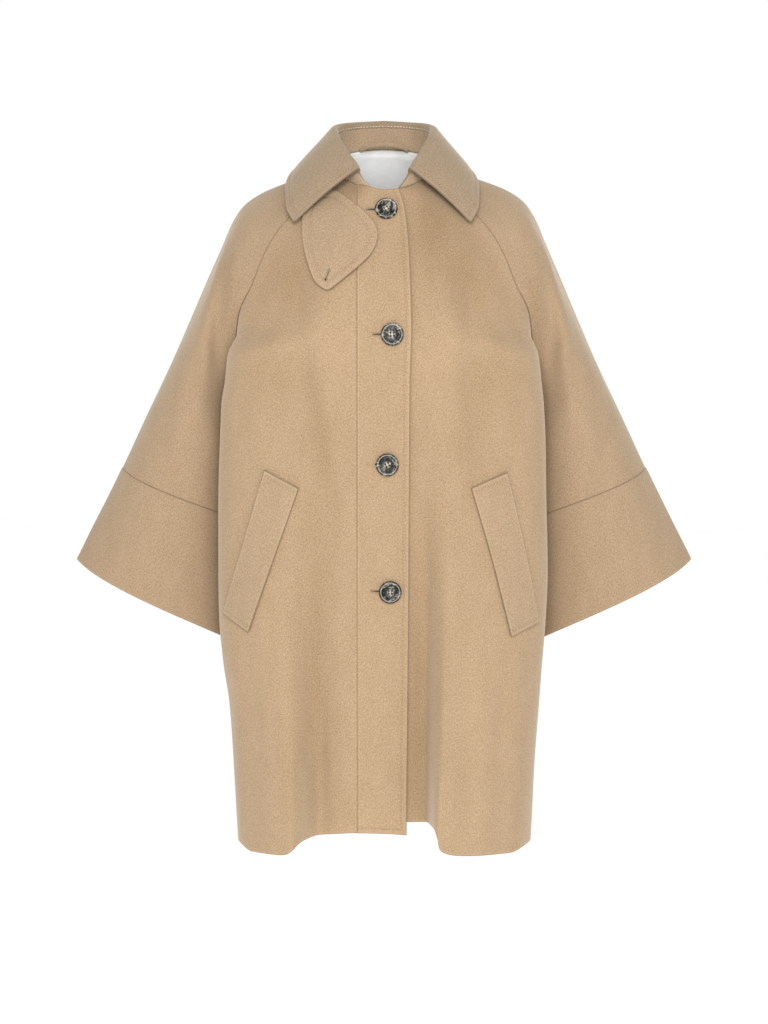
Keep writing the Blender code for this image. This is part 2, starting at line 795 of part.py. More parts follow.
def body_and_sleeves(wool):
    """Fronts, placket, back and raglan sleeves, joined along their seams."""
    rows = RAGLAN_ROWS + SIDE_ROWS
    right = np.array([front_row(-1, down, FRONT_RIGHT_COLUMNS, PLACKET_SEAM_X) for down in rows])
    left = []
    for down in rows:
        edge = float(at(PLACKET_EDGE, "x", "down", down)) * MM
        fold_x = front_curve(1, down)[0][-1, 0]
        span = fold_x + UNDERLAP_EDGE_X
        start = (edge + UNDERLAP_EDGE_X) / span
        hidden = [start * k / UNDERLAP_COLUMNS for k in range(UNDERLAP_COLUMNS)]
        shown = [start + q * (1 - start) if q <= 1 else q for q in FRONT_LEFT_COLUMNS]
        left.append(front_row(1, down, hidden + shown, -UNDERLAP_EDGE_X, underlap=True))
    left = np.array(left)
    placket = []
    for down in rows:
        edge = float(at(PLACKET_EDGE, "x", "down", down)) * MM
        fold_x = front_curve(1, down)[0][-1, 0]
        places = np.interp(PLACKET_COLUMNS, (0, 1, 2), (-PLACKET_SEAM_X, 0.0, edge))
        stations = [(PLACKET_SEAM_X + x) / (fold_x + PLACKET_SEAM_X) for x in places]
        placket.append(front_row(1, down, stations, -PLACKET_SEAM_X))
    placket = np.array(placket)
    placket[:, 0] = right[:, 0]
    sleeves = RAGLAN_ROWS + SLEEVE_ROWS
    panels = [
        Panel("front_right", right, CLOTH, False, (-1, -1)),
        Panel("front_placket", placket, PLACKET_CLOTH, True, proud=PLACKET_PROUD),
        Panel("front_left", left, CLOTH, True, (-1, -1)),
        Panel("back", back_grid(), CLOTH, False, (-1, 1)),
    ]
    for side, hand in ((-1, "right"), (1, "left")):
        for part, raglan, shape, y_sign in (
            ("front", FRONT_RAGLAN, SLEEVE_FRONT, -1), ("back", BACK_RAGLAN, SLEEVE_BACK, 1)
        ):
            grid = sleeve_grid(side, raglan, shape, sleeves)
            flip = (side < 0) == (part == "back")
            panels.append(Panel(f"sleeve_{part}_{hand}", grid, CLOTH, not flip, (1, y_sign)))
    named = {panel.name: panel for panel in panels}
    line = neck_line(named)
    parts = neck_parts(line)
    stand = Panel("collar_stand", stand_grid(line, parts), STAND_CLOTH, False, gap=STAND_SEAM_GAP)
    join_panels(panels + [stand])
    for panel in panels + [stand]:
        wall_mesh(panel.name, panel.outer, panel.inner, panel.flip, False, wool)
    leaf = leaf_grid(stand, parts)
    wall_mesh("collar_leaf", leaf, leaf - grid_normals(leaf) * LEAF_CLOTH, False, False, wool)
    return named


def neck_line(named):
    """Points of the neck seam, from the overlapping front end round the back."""
    stretches = [
        named["front_placket"].grid[0, 1::-1],
        named["front_right"].grid[0],
        named["sleeve_front_right"].grid[0, ::-1],
        named["sleeve_back_right"].grid[0],
        named["back"].grid[0],
        named["sleeve_back_left"].grid[0, ::-1],
        named["sleeve_front_left"].grid[0],
        named["front_left"].grid[0, :UNDERLAP_COLUMNS - 1:-1],
    ]
    line = stretches[0]
    for stretch in stretches[1:]:
        line = np.vstack([line, stretch[1:]])
    return line


def collar_point(kind, side, part):
    """A point of the collar's top or edge line, part 0 at the back, 1 at the front."""
    point = [float(at(COLLAR, f"{kind}_{axis}", "round", part)) for axis in "xyz"]
    spread = LEAF_LEFT_SPREAD if kind == "edge" and side > 0 else 1.0
    return np.array(point) * MM * (side * spread, 1, 1)


def neck_parts(line):
    """How far round each point of the neck seam is: 0 at the back, -1 and 1 in front."""
    run = np.concatenate([[0.0], np.cumsum(np.linalg.norm(np.diff(line, axis=0), axis=1))])
    back = run[np.argmin(abs(line[:, 0]) - line[:, 1])]
    return np.where(run < back, (run - back) / back, (run - back) / (run[-1] - back))


def collar_side(part):
    """The wearer's right is the negative half of the collar."""
    return -1 if part < 0 else 1


def stand_grid(line, parts):
    """The collar stand, its top row first and the neck seam last."""
    rows = []
    for step in range(STAND_ROWS + 1):
        share = 1.0 - step / STAND_ROWS
        row = []
        for point, part in zip(line, parts):
            top = collar_point("top", collar_side(part), abs(part))
            swell = math.sin(math.pi * share) * STAND_BOW
            row.append(point + (top - point) * share + unit(top * (1, 1, 0)) * swell)
        rows.append(row)
    return np.array(rows)


def leaf_grid(stand, parts):
    """The turned-down collar, from the top of the stand over the roll to its edge."""
    places = np.linspace(-1.0, 1.0, LEAF_COLUMNS)
    inner = np.stack([np.interp(places, parts, stand.inner[0][:, i]) for i in range(3)], axis=1)
    outer = np.stack([np.interp(places, parts, stand.outer[0][:, i]) for i in range(3)], axis=1)
    along = np.gradient(inner, axis=0)
    grid = []
    for column, place in enumerate(places):
        out = unit(outer[column] - inner[column])
        rise = unit(np.cross(out, along[column]))
        rise = rise if rise[2] > 0 else -rise
        rolled = [inner[column] + (out * o + rise * u) * MM
                  for o, u in zip(ROLL_ROWS["out"], ROLL_ROWS["up"])]
        edge = collar_point("edge", collar_side(place), abs(place))
        bulge = float(at(COLLAR, "bulge", "round", abs(place))) * MM
        fall = edge - rolled[-1]
        swell = unit(np.cross(fall, along[column]))
        swell = swell if swell @ (out + rise) > 0 else -swell
        falling = [rolled[-1] + fall * share + swell * bulge * math.sin(math.pi * share)
                   for share in LEAF_FALL_ROWS]
        grid.append(rolled + falling)
    return np.array(grid).transpose(1, 0, 2)


class FrontSurface:
    """The outer faces of the fronts and sleeves, to lay other pieces on."""

    def __init__(self, panels):
        corners = []
        faces = []
        for panel in panels:
            rows, columns = panel.outer.shape[:2]
            first = len(corners)
            corners.extend(panel.outer.reshape(-1, 3).tolist())
            for i in range(rows - 1):
                for j in range(columns - 1):
                    a = first + i * columns + j
                    faces.append((a, a + 1, a + columns + 1))
                    faces.append((a, a + columns + 1, a + columns))
        self.tree = BVHTree.FromPolygons(corners, faces)

    def spot(self, x, z):
        """The foremost point at a place across and a height, also over a seam gap."""
        hits = [self.tree.ray_cast((x + shift, -1.0, z), (0.0, 1.0, 0.0))[0]
                for shift in (-SEAM_GAP, 0.0, SEAM_GAP)]
        depth = min(hit.y for hit in hits if hit is not None)
        return np.array([x, depth, z])

    def cleared(self, grid, clearance):
        """The grid with each point at least the clearance off the faces."""
        for point in grid.reshape(-1, 3):
            near, normal, _, _ = self.tree.find_nearest(point)
            normal = -normal if normal.y > 0 else normal
            lack = clearance - (Vector(point) - near).dot(normal)
            if lack > 0:
                point += np.array(normal) * lack
        return grid


def laid_on(surface, name, spots, clearance, cloth, flip, material):
    """A wall made from points of the front, moved out."""
    normals = grid_normals(spots) * (-1.0 if flip else 1.0)
    inner = surface.cleared(spots + normals * clearance, clearance)
    wall_mesh(name, inner + normals * cloth, inner, flip, False, material)


def throat_tab(surface, wool):
    """The petal-shaped tab that hangs from under the right collar leaf."""
    heights = THROAT_TAB["z"]
    share = np.linspace(0.0, 1.0, TAB_ROWS) ** 0.8
    spots = []
    for z in heights[0] + (heights[-1] - heights[0]) * share:
        left = float(np.interp(-z, -heights, THROAT_TAB["x_left"]))
        right = float(np.interp(-z, -heights, THROAT_TAB["x_right"]))
        places = np.linspace(right, left, TAB_COLUMNS) * MM
        spots.append([surface.spot(x, z * MM) for x in places])
    laid_on(surface, "throat_tab", np.array(spots), TAB_CLEARANCE, TAB_CLOTH, False, wool)


def pocket_welts(surface, wool):
    """The slanted welt over each pocket mouth."""
    for name, corners in WELTS.items():
        side = -1 if name.endswith("right") else 1
        spots = []
        for along in np.linspace(0.0, 1.0, WELT_ROWS + 1):
            edges = [float(at(corners, key, "along", along)) * MM
                     for key in ("inner_x", "inner_z", "outer_x", "outer_z")]
            row = []
            for share in WELT_COLUMNS:
                row.append(surface.spot(edges[0] + (edges[2] - edges[0]) * share,
                                        edges[1] + (edges[3] - edges[1]) * share))
            spots.append(row)
        clearance = WELT_CLEARANCE_RIGHT if side < 0 else WELT_CLEARANCE_LEFT
        laid_on(surface, name, np.array(spots), clearance, WELT_CLOTH, side > 0, wool)


def cuffs(wool):
    """The deep cuff bands, each a tube that carries the sleeve on."""
    rows = (CUFF_ROWS[0] + CUFF_SEAM_STEP,) + CUFF_ROWS[1:]
    for side, hand in ((-1, "right"), (1, "left")):
        front = sleeve_grid(side, FRONT_RAGLAN, SLEEVE_FRONT, rows)
        back = sleeve_grid(side, BACK_RAGLAN, SLEEVE_BACK, rows)
        ring = np.concatenate([front, back[:, -2:0:-1]], axis=1)
        flip = side < 0
        normals = grid_normals(ring, closed=True) * (-1.0 if flip else 1.0)
        outer = ring + normals * CUFF_PROUD
        wall_mesh(f"cuff_{hand}", outer, outer - normals * CUFF_CLOTH, flip, True, wool)


def button_blank(name, material):
    """A round button with a raised rim and a sunk middle, on the XY plane."""
    radius = BUTTON_RADIUS
    floor = BUTTON_THICKNESS - BUTTON_WELL_DEPTH
    profile = (
        (0.0, 0.0),
        (radius * 0.82, 0.0),
        (radius, BUTTON_THICKNESS * 0.42),
        (radius * 0.955, BUTTON_THICKNESS * 0.86),
        (radius * 0.86, BUTTON_THICKNESS),
        (BUTTON_WELL_RADIUS, floor + 0.15 * MM),
        (BUTTON_WELL_RADIUS * 0.8, floor),
        (0.0, floor),
    )
    form = bmesh.new()
    points = [form.verts.new((x, 0.0, z)) for x, z in profile]
    edges = [form.edges.new(pair) for pair in zip(points, points[1:])]
    bmesh.ops.spin(form, geom=points + edges, cent=(0, 0, 0), axis=(0, 0, 1),
                   angle=2 * math.pi, steps=BUTTON_SEGMENTS, use_merge=True)
    bmesh.ops.remove_doubles(form, verts=form.verts, dist=0.01 * MM)
    bmesh.ops.recalc_face_normals(form, faces=form.faces)
    mesh = bpy.data.meshes.new(name)
    form.to_mesh(mesh)
    form.free()
    mesh.materials.append(material)
    piece = bpy.data.objects.new(name, mesh)
    bpy.context.scene.collection.objects.link(piece)
    return piece


def hole_cutter():
    """Four thin rods that pierce a button."""
    form = bmesh.new()
    for quarter in range(4):
        angle = math.radians(45 + 90 * quarter)
        place = Matrix.Translation((
            BUTTON_HOLE_SPACING * math.cos(angle),
            BUTTON_HOLE_SPACING * math.sin(angle),
            BUTTON_THICKNESS / 2,
        ))
        bmesh.ops.create_cone(form, cap_ends=True, segments=8, radius1=BUTTON_HOLE_RADIUS,
                              radius2=BUTTON_HOLE_RADIUS, depth=3 * BUTTON_THICKNESS, matrix=place)
    mesh = bpy.data.meshes.new("button_holes")
    form.to_mesh(mesh)
    form.free()
    cutter = bpy.data.objects.new("button_holes", mesh)
    bpy.context.scene.collection.objects.link(cutter)
    cutter.hide_render = True
    cutter.display_type = "WIRE"
    return cutter


def buttons(surface, horn):
    """The four buttons, each flat on the placket."""
    for number, (x, z) in enumerate(zip(BUTTONS["x"], BUTTONS["z"]), start=1):
        piece = button_blank(f"button_{number}", horn)
        cutter = hole_cutter()
        step = 5 * MM
        spot = surface.spot(x * MM, z * MM)
        across = surface.spot(x * MM + step, z * MM) - surface.spot(x * MM - step, z * MM)
        down = surface.spot(x * MM, z * MM - step) - surface.spot(x * MM, z * MM + step)
        normal = Vector(unit(np.cross(down, across)))
        place = Matrix.Translation(Vector(spot) + normal * BUTTON_STANDOFF)
        turn = normal.to_track_quat("Z", "Y").to_matrix().to_4x4()
        piece.matrix_world = place @ turn
        cutter.matrix_world = piece.matrix_world
        holes = piece.modifiers.new("holes", "BOOLEAN")
        holes.object = cutter
        holes.operation = "DIFFERENCE"


def hanger_loop(wool):
    """A folded strip that bows off the back neck between its two sewn ends."""
    path = bezier(
        (
            (-LOOP_HALF_LENGTH, LOOP_END_Y, LOOP_END_Z),
            (-0.5 * LOOP_HALF_LENGTH, LOOP_END_Y - LOOP_STANDOFF, LOOP_END_Z + 1.2 * LOOP_RISE),
            (0.5 * LOOP_HALF_LENGTH, LOOP_END_Y - LOOP_STANDOFF, LOOP_END_Z + 1.2 * LOOP_RISE),
            (LOOP_HALF_LENGTH, LOOP_END_Y, LOOP_END_Z),
        ),
        LOOP_SEGMENTS + 1,
    )
    along = np.gradient(path, axis=0)
    grid = []
    for point, run in zip(path, along):
        width = unit(np.cross(unit(run), (0.0, -1.0, 0.0)))
        width = width if width[2] > 0 else -width
        grid.append([point + width * LOOP_WIDTH * share for share in (-0.5, 0.0, 0.5)])
    grid = np.array(grid)
    normals = grid_normals(grid)
    normals = normals if normals[LOOP_SEGMENTS // 2, 1, 1] < 0 else -normals
    half = LOOP_THICKNESS / 2
    wall_mesh("hanger_loop", grid + normals * half, grid - normals * half,
              grid_normals(grid)[LOOP_SEGMENTS // 2, 1, 1] > 0, False, wool)


def back_lining(satin):
    """The upper back lining, just inside the back."""
    full = []
    for down in LINING_ROWS:
        half = back_row(down, LINING_COLUMNS)
        full.append(np.vstack([half[::-1] * (-1, 1, 1), half[1:]]))
    full = np.array(full)
    normals = grid_normals(full)
    outer = full - normals * LINING_INSET
    wall_mesh("back_lining", outer, outer - normals * LINING_CLOTH, False, False, satin)


def main():
    for thing in list(bpy.data.objects):
        bpy.data.objects.remove(thing)
    wool = paint("camel_wool", (0.56, 0.40, 0.235), 0.9)
    horn = paint("horn", (0.09, 0.075, 0.06), 0.3)
    satin = paint("lining_satin", (0.68, 0.69, 0.66), 0.45)
    named = body_and_sleeves(wool)
    surface = FrontSurface([named[name] for name in (
        "front_right", "front_placket", "front_left", "sleeve_front_right")])
    cuffs(wool)
    throat_tab(surface, wool)
    pocket_welts(surface, wool)
    buttons(surface, horn)
    hanger_loop(wool)
    back_lining(satin)


main()
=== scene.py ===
"""Looks of a camel wool coat: raglan sleeves, deep cuffs, a buttoned placket.

Metres, +Z up, the front faces -Y, the wearer's right is -X. The cloth pieces
follow the same sections as the solids, set out finer, with rounded edges,
seams, topstitching and soft creases. Lengths in tables are millimetres.
"""

import math

import bmesh
import bpy
import numpy as np
from mathutils import Matrix, Vector
from mathutils.bvhtree import BVHTree


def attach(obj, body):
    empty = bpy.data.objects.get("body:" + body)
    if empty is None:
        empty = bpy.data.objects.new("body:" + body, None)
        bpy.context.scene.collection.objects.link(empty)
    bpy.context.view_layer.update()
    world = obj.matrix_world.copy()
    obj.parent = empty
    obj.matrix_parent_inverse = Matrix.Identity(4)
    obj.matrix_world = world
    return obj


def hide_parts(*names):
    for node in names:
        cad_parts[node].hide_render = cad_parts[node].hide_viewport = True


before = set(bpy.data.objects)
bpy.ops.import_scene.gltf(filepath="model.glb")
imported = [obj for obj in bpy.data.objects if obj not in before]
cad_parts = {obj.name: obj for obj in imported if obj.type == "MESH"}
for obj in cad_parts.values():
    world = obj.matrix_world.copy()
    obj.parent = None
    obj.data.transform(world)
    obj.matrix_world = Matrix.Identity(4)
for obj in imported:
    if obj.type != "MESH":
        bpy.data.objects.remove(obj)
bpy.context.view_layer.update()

MM = 0.001
BODY = "root"

# Cloth and gaps
CLOTH = 2.4 * MM
CUFF_CLOTH = 3.4 * MM
PLACKET_CLOTH = 3.2 * MM
STAND_CLOTH = 3.0 * MM
LEAF_CLOTH = 3.2 * MM
TAB_CLOTH = 2.4 * MM
WELT_CLOTH = 2.2 * MM
LINING_CLOTH = 1.2 * MM
SEAM_GAP = 0.08 * MM
MITRE_LIMIT = 1.7
PLACKET_PROUD = 0.8 * MM
UNDERLAP_INSET = 5.6 * MM
UNDERLAP_FADE = 60 * MM
CUFF_PROUD = 0.7 * MM
CUFF_BACK_DROP_RIGHT = 5 * MM
CUFF_BACK_DROP_LEFT = 10 * MM
CUFF_DROP_START = 1.4
CUFF_DROP_LEAN = (0.42, 0.0, -0.9)
TAB_CLEARANCE = 0.5 * MM
WELT_CLEARANCE = 0.6 * MM
PLACKET_SEAM_X = 33 * MM
STAND_START_X = 15.84 * MM
UNDERLAP_EDGE_X = 34 * MM
SLEEVE_RISE = 0.28
SHOULDER_TILT = 2.2 * MM

# Columns between the close ones at the borders of each piece
FRONT_RIGHT_COLUMNS = 96
FRONT_LEFT_COLUMNS = 96
UNDERLAP_COLUMNS = 8
PLACKET_HALF_COLUMNS = 10
BACK_COLUMNS = 160
SLEEVE_COLUMNS = 46
CURVE_POINTS = 161

# Points taken along a front or back before its columns are set out
INNER_POINTS = 260
SHOWN_POINTS = 240
OUTER_POINTS = 160
PLACKET_POINTS = 120
BACK_POINTS = 320
FALL_POINTS = 120

# Distances from a border at which a piece has its close points
SEAM_NEAR = (0.0, 0.3, 0.7, 1.2, 1.9, 3.0, 5.0)
STITCHED_NEAR = (0.0, 0.3, 0.8, 1.5, 2.6, 4.5, 6.0, 6.7, 7.1, 7.4, 7.7, 8.1, 8.8, 10.5)
WIDE_STITCHED_NEAR = (0.0, 0.3, 0.8, 1.5, 2.8, 5.0, 7.4, 8.5, 9.0, 9.4, 9.8, 10.3, 11.4, 14.0)

# Rows: 0 is the neck, 1 the underarm, 2 the hem
NECK_ROWS = (0.0, 0.003, 0.008, 0.016, 0.028)
HEM_ROWS = (1.984, 1.9858, 1.9866, 1.987, 1.9874, 1.9882, 1.99, 1.993, 1.9955, 1.9974, 1.9986,
            1.9995, 2.0)
RAGLAN_ROWS = NECK_ROWS + tuple(np.linspace(0.045, 1.0, 58))
SIDE_ROWS = tuple(np.linspace(1.0, 1.975, 80)[1:]) + HEM_ROWS
SLEEVE_ROWS = tuple(np.linspace(1.0, 1.53, 34)[1:]) + (1.54, 1.544, 1.547, 1.549, 1.55)
CUFF_ROWS = (1.5512, 1.5525, 1.5545, 1.558, 1.566) + tuple(np.linspace(1.58, 1.97, 26)) + (
    1.98, 1.988, 1.993, 1.9965, 1.9985, 2.0)

# Relief of the seams and edges, and the shade painted along them
SEAM_DEPTH = 0.95 * MM
SEAM_WIDTH = 1.3 * MM
SEAM_DIP = 0.3 * MM
SEAM_DIP_WIDTH = 7 * MM
NECK_SEAM = 0.4
PLACKET_SEAM = 0.42
LONG_SEAM = 0.95
CUFF_SEAM = 0.9
SLEEVE_OVER_SEAM = 0.45
BODY_SEAMS = {
    "front_right": {"top": NECK_SEAM, "first": PLACKET_SEAM, "last": LONG_SEAM},
    "front_left": {"top": NECK_SEAM, "last": LONG_SEAM},
    "back": {"top": NECK_SEAM, "first": LONG_SEAM, "last": LONG_SEAM},
    "front_placket": {"top": NECK_SEAM, "first": PLACKET_SEAM},
}
SLEEVE_SEAMS = {"top": NECK_SEAM, "first": SLEEVE_OVER_SEAM, "last": LONG_SEAM}
EDGE_FULLNESS = 0.94
# Painted shade: a dark rim along every free edge, between RIM_START and RIM_END
EDGE_RIM_SHADE = 1.6
EDGE_REACH = 4 * MM
RIM_START = 0.4 * MM
RIM_END = 1.6 * MM
SEAM_MARK_REACH = 1.6 * SEAM_WIDTH
GROOVE_REACH = 8 * MM
STITCH_DEPTH = 0.46 * MM
STITCH_SHADE = 0.85
STITCH_WIDTH = 0.75 * MM
PILLOW = 0.28 * MM
PLACKET_STITCH = 7.4 * MM
COLLAR_STITCH = 9.4 * MM
TAB_STITCH = 9.8 * MM
WELT_STITCH = 6.6 * MM
SEAM_STITCH = 1.9 * MM
UNDULATION = 0.42 * MM
# The unevenness of each piece: size of its waves in metres, then its seed
PANEL_WAVES = (0.055, 3)
LEAF_WAVES = (0.05, 5)
CUFF_WAVES = (0.06, 8)
LINING_WAVES = (0.03, 12)
EDGE_CALM = 10 * MM
LINING_RIPPLE = 0.9 * MM
HEM_TURN = 42 * MM
FACING_WIDTH = 95 * MM

# Stitches: spacing, then length, width and height of one
STITCH_PITCH = 3.9 * MM
STITCH_SIZE = (3.1 * MM, 0.62 * MM, 0.5 * MM)
HOLE_PITCH = 0.62 * MM
HOLE_STITCH_SIZE = (0.55 * MM, 1.5 * MM, 0.6 * MM)
COLLAR_STITCH_SIZE = (2.6 * MM, 1.1 * MM, 0.6 * MM)
STITCH_SEED = 4


def table(columns, *rows):
    """Read a table of millimetres and degrees into one array a column."""
    return {name: np.array([row[i] for row in rows], float) for i, name in enumerate(columns)}


SIDE_SEAM = table(
    ("down", "x", "y", "z"),
    (1.00, 182, 20, -292),
    (1.05, 178.5, 25, -320),
    (1.12, 176.5, 30, -358),
    (1.30, 176, 34, -458),
    (1.50, 177, 37, -569),
    (1.70, 181, 40, -680),
    (2.00, 187, 44, -868),
)

FRONT_RAGLAN = table(
    ("down", "x", "y", "z"),
    (0.00, 57, -38, -7),
    (0.12, 86, -54, -36),
    (0.25, 111, -63, -60),
    (0.37, 131, -69, -82),
    (0.50, 150, -73, -115),
    (0.62, 164, -72, -150),
    (0.75, 182, -58, -190),
    (0.84, 186, -38, -232),
    (0.92, 184.5, -12, -270),
    (1.00, 182, 20, -292),
)

BACK_RAGLAN = table(
    ("down", "x", "y", "z"),
    (0.00, 52, 40, 20),
    (0.12, 69, 62, -12),
    (0.25, 86, 83, -44),
    (0.37, 102, 97, -76),
    (0.50, 121, 107, -110),
    (0.62, 140, 109, -146),
    (0.75, 160, 101, -188),
    (0.84, 172, 84, -230),
    (0.92, 179, 55, -270),
    (1.00, 182, 20, -292),
)

OVERARM = table(
    ("down", "x", "y", "z"),
    (0.00, 66, 5, 9),
    (0.12, 96, 5, -8),
    (0.25, 128, 6, -19),
    (0.37, 157, 7, -31),
    (0.50, 178, 9, -45.5),
    (0.62, 192, 11, -65),
    (0.75, 208, 13, -101),
    (0.84, 225, 15, -139),
    (0.92, 245, 17.5, -185),
    (1.00, 269.8, 20.5, -241),
    (1.27, 305.7, 27, -315),
    (1.55, 337.7, 33, -382),
    (2.00, 398.6, 38, -502.4),
)

UNDERARM = table(
    ("down", "x", "y", "z"),
    (1.00, 182, 20, -292),
    (1.06, 186, 24, -316),
    (1.27, 187, 31, -372),
    (1.55, 187, 36, -451),
    (2.00, 191, 38, -611),
)

# The front section: its middle, its side fold and the heading at its seam
FRONT = table(
    ("down", "centre_y", "centre_z", "fold_x_right", "fold_x_left", "fold_y", "fold_heading",
     "seam_heading"),
    (0.00, -80, -33, 46, 46, -57, 45, 62),
    (0.12, -91, -59, 62, 62, -76, 32, 46),
    (0.25, -103, -87, 76, 76, -89, 28, 40),
    (0.37, -116, -115, 88, 88, -100, 27, 37),
    (0.50, -127, -150, 102, 102, -107, 28, 34),
    (0.62, -131, -186, 120, 120, -106, 31, 38),
    (0.75, -132, -222, 158, 158, -91, 46, 68),
    (0.84, -133, -248, 194, 192, -67, 80, 88),
    (0.92, -133, -274, 199, 197, -60, 87, 92),
    (1.00, -133, -300, 203.5, 200, -54, 90, 90),
    (1.10, -134, -347, 206, 203, -52, 90, 92),
    (1.25, -137, -430, 208.5, 204.5, -50, 90, 92),
    (1.40, -140, -514, 209, 206.5, -50, 90, 90),
    (1.50, -142, -569, 208, 204.5, -48, 90, 90),
    (1.60, -144, -624, 203.5, 200.5, -46, 90, 90),
    (1.70, -146, -680, 195.5, 197, -42, 90, 90),
    (1.85, -148, -767, 190.5, 190.5, -40, 90, 90),
    (2.00, -151, -854, 186, 187, -38, 90, 90),
)

BACK = table(
    ("down", "centre_y", "centre_z", "fold_x", "fold_y", "fold_heading", "seam_heading"),
    (0.00, 58, 26, 28, 54, -16, -42),
    (0.12, 69, -2, 40, 68, -6, -22),
    (0.25, 90, -42, 50, 90, -4, -18),
    (0.37, 106, -78, 60, 105, -3, -18),
    (0.50, 117, -116, 75, 115, -5, -22),
    (0.62, 124, -155, 90, 120, -8, -28),
    (0.75, 128, -196, 112, 120, -14, -42),
    (0.84, 129, -232, 132, 116, -24, -66),
    (0.92, 129, -266, 150, 105, -38, -80),
    (1.00, 129, -296, 164, 88, -52, -88),
    (1.10, 129, -347, 167, 86, -58, -91),
    (1.30, 131, -458, 168, 88, -58, -90),
    (1.60, 136, -624, 180, 92, -60, -90),
    (2.00, 148, -854, 187, 92, -68, -90),
)

# Where the sleeve's cloth leaves its seam and its overarm line, and how far it reaches
SLEEVE_FRONT = table(
    ("down", "seam_heading", "over_heading", "reach"),
    (0.00, 68, -90, 0.36),
    (0.12, 48, -90, 0.38),
    (0.25, 40, -90, 0.40),
    (0.50, 34, -90, 0.42),
    (0.62, 26, -91, 0.42),
    (0.75, -4, -92, 0.46),
    (0.84, -22, -93, 0.56),
    (0.92, -46, -94, 0.70),
    (1.00, -66, -95, 0.82),
    (1.27, -80, -98, 0.66),
    (1.55, -72, -105, 0.51),
    (2.00, -62, -118, 0.36),
)

SLEEVE_BACK = table(
    ("down", "seam_heading", "over_heading", "reach"),
    (0.00, -48, 90, 0.36),
    (0.12, -24, 90, 0.40),
    (0.25, -18, 90, 0.42),
    (0.50, -22, 90, 0.44),
    (0.62, -24, 91, 0.44),
    (0.75, -2, 92, 0.48),
    (0.84, 16, 93, 0.58),
    (0.92, 42, 94, 0.74),
    (1.00, 66, 95, 0.90),
    (1.27, 80, 98, 0.70),
    (1.55, 72, 105, 0.53),
    (2.00, 62, 118, 0.35),
)

# The edge of the placket, measured from the middle of the front
PLACKET_EDGE = table(
    ("down", "x"),
    (0.00, 18.4),
    (0.12, 26),
    (0.30, 30.3),
    (0.45, 32.2),
    (0.70, 34),
    (0.90, 32.2),
    (1.10, 31.6),
    (1.45, 30.7),
    (2.00, 28.3),
)

# The hollow that the closing falls into towards the hem
VALLEY = table(
    ("down", "depth", "left_start", "left_end", "right_half_width"),
    (0.98, 0, -150, -50, 16),
    (1.18, 5, -146, -54, 15),
    (1.36, 14, -140, -60, 14),
    (1.55, 26, -132, -66, 13),
    (1.75, 41, -125, -72, 11),
    (2.00, 57, -118, -78, 7),
)
VALLEY_RIGHT_FRACTION = 0.195

# How far the hem rises where the closing lies further back, and at the side folds
HEM_LIFT_START = 1.55
HEM_LIFT_OVERLAP = table(
    ("x", "lift"),
    (-128, 0),
    (-122, 1.3),
    (-117, 3.8),
    (-112, 7),
    (-107, 11.4),
    (-100, 14.4),
    (-81, 15.4),
    (-60, 17.7),
    (-35, 19),
    (0, 18.4),
    (30, 16.3),
)
HEM_LIFT_UNDERLAP = table(
    ("x", "lift"),
    (-34, 32),
    (61, 32),
    (65, 24),
    (69, 9),
    (76, 4.5),
    (90, 1.5),
    (112, 0),
)
HEM_CORNER_START = 1.88
HEM_CORNER_LIFT = 8 * MM

# Soft folds that hang down the body: place along X at top and bottom, depth inwards
FRONT_FOLDS = table(
    ("x_top", "x_bottom", "z_top", "z_bottom", "half_width", "depth"),
    (100, 122, -110, -400, 34, 5),
    (-100, -128, -110, -420, 36, 4.5),
    (150, 140, -560, -900, 26, 5),
    (-168, -160, -560, -900, 24, 5),
)

BACK_FOLDS = table(
    ("x_top", "x_bottom", "z_top", "z_bottom", "half_width", "depth"),
    (-60, -96, -200, -1000, 44, 15),
    (52, 84, -220, -1000, 42, 14),
    (-2, -8, -420, -1020, 34, -9),
    (128, 146, -380, -980, 26, -7),
    (-132, -150, -400, -980, 26, -7),
)

# Round the neck from the middle of the back (0) to the front end (1)
COLLAR = table(
    ("round", "top_x", "top_y", "top_z", "edge_x", "edge_y", "edge_z", "bulge"),
    (0.00, 0, 62, 55, 0, 89, -9, 4),
    (0.20, 30, 57, 53, 50, 88, -9, 4),
    (0.38, 54, 36, 48.6, 92, 66, -9, 3),
    (0.53, 62, 8, 41.6, 117, 14, -7, 1.5),
    (0.68, 59, -22, 29, 124, -38, -26, 3),
    (0.84, 47, -52, 6, 122, -70, -53, 5),
    (1.00, 32, -72, -14, 112, -86, -74, 4),
)
ROLL_CURVE = ((0.0, 0.2), (-0.3, 9.5), (5.5, 11.0), (9.2, 6.8))
ROLL_ROWS = 18
LEAF_FALL_ROWS = 30
STAND_ROWS = 16
STAND_BOW = 1.5 * MM
LEAF_COLUMNS = 220
LEAF_LEFT_SPREAD = 0.965

THROAT_TAB = table(
    ("z", "x_left", "x_right"),
    (-34, -84, -60),
    (-41, -90, -49.5),
    (-49, -95, -39),
    (-57, -98, -29),
    (-64, -100.2, -21.8),
    (-72, -100.8, -14.4),
    (-83, -100.8, -8.7),
    (-92, -100.3, -7.6),
    (-101, -99, -9.3),
    (-112, -97, -14),
    (-127, -92.5, -27.5),
    (-140, -88, -42.3),
    (-149, -83, -53.5),
    (-155.5, -76, -61.5),
    (-159, -70.5, -66),
)
TAB_OUTLINE_POINTS = 180

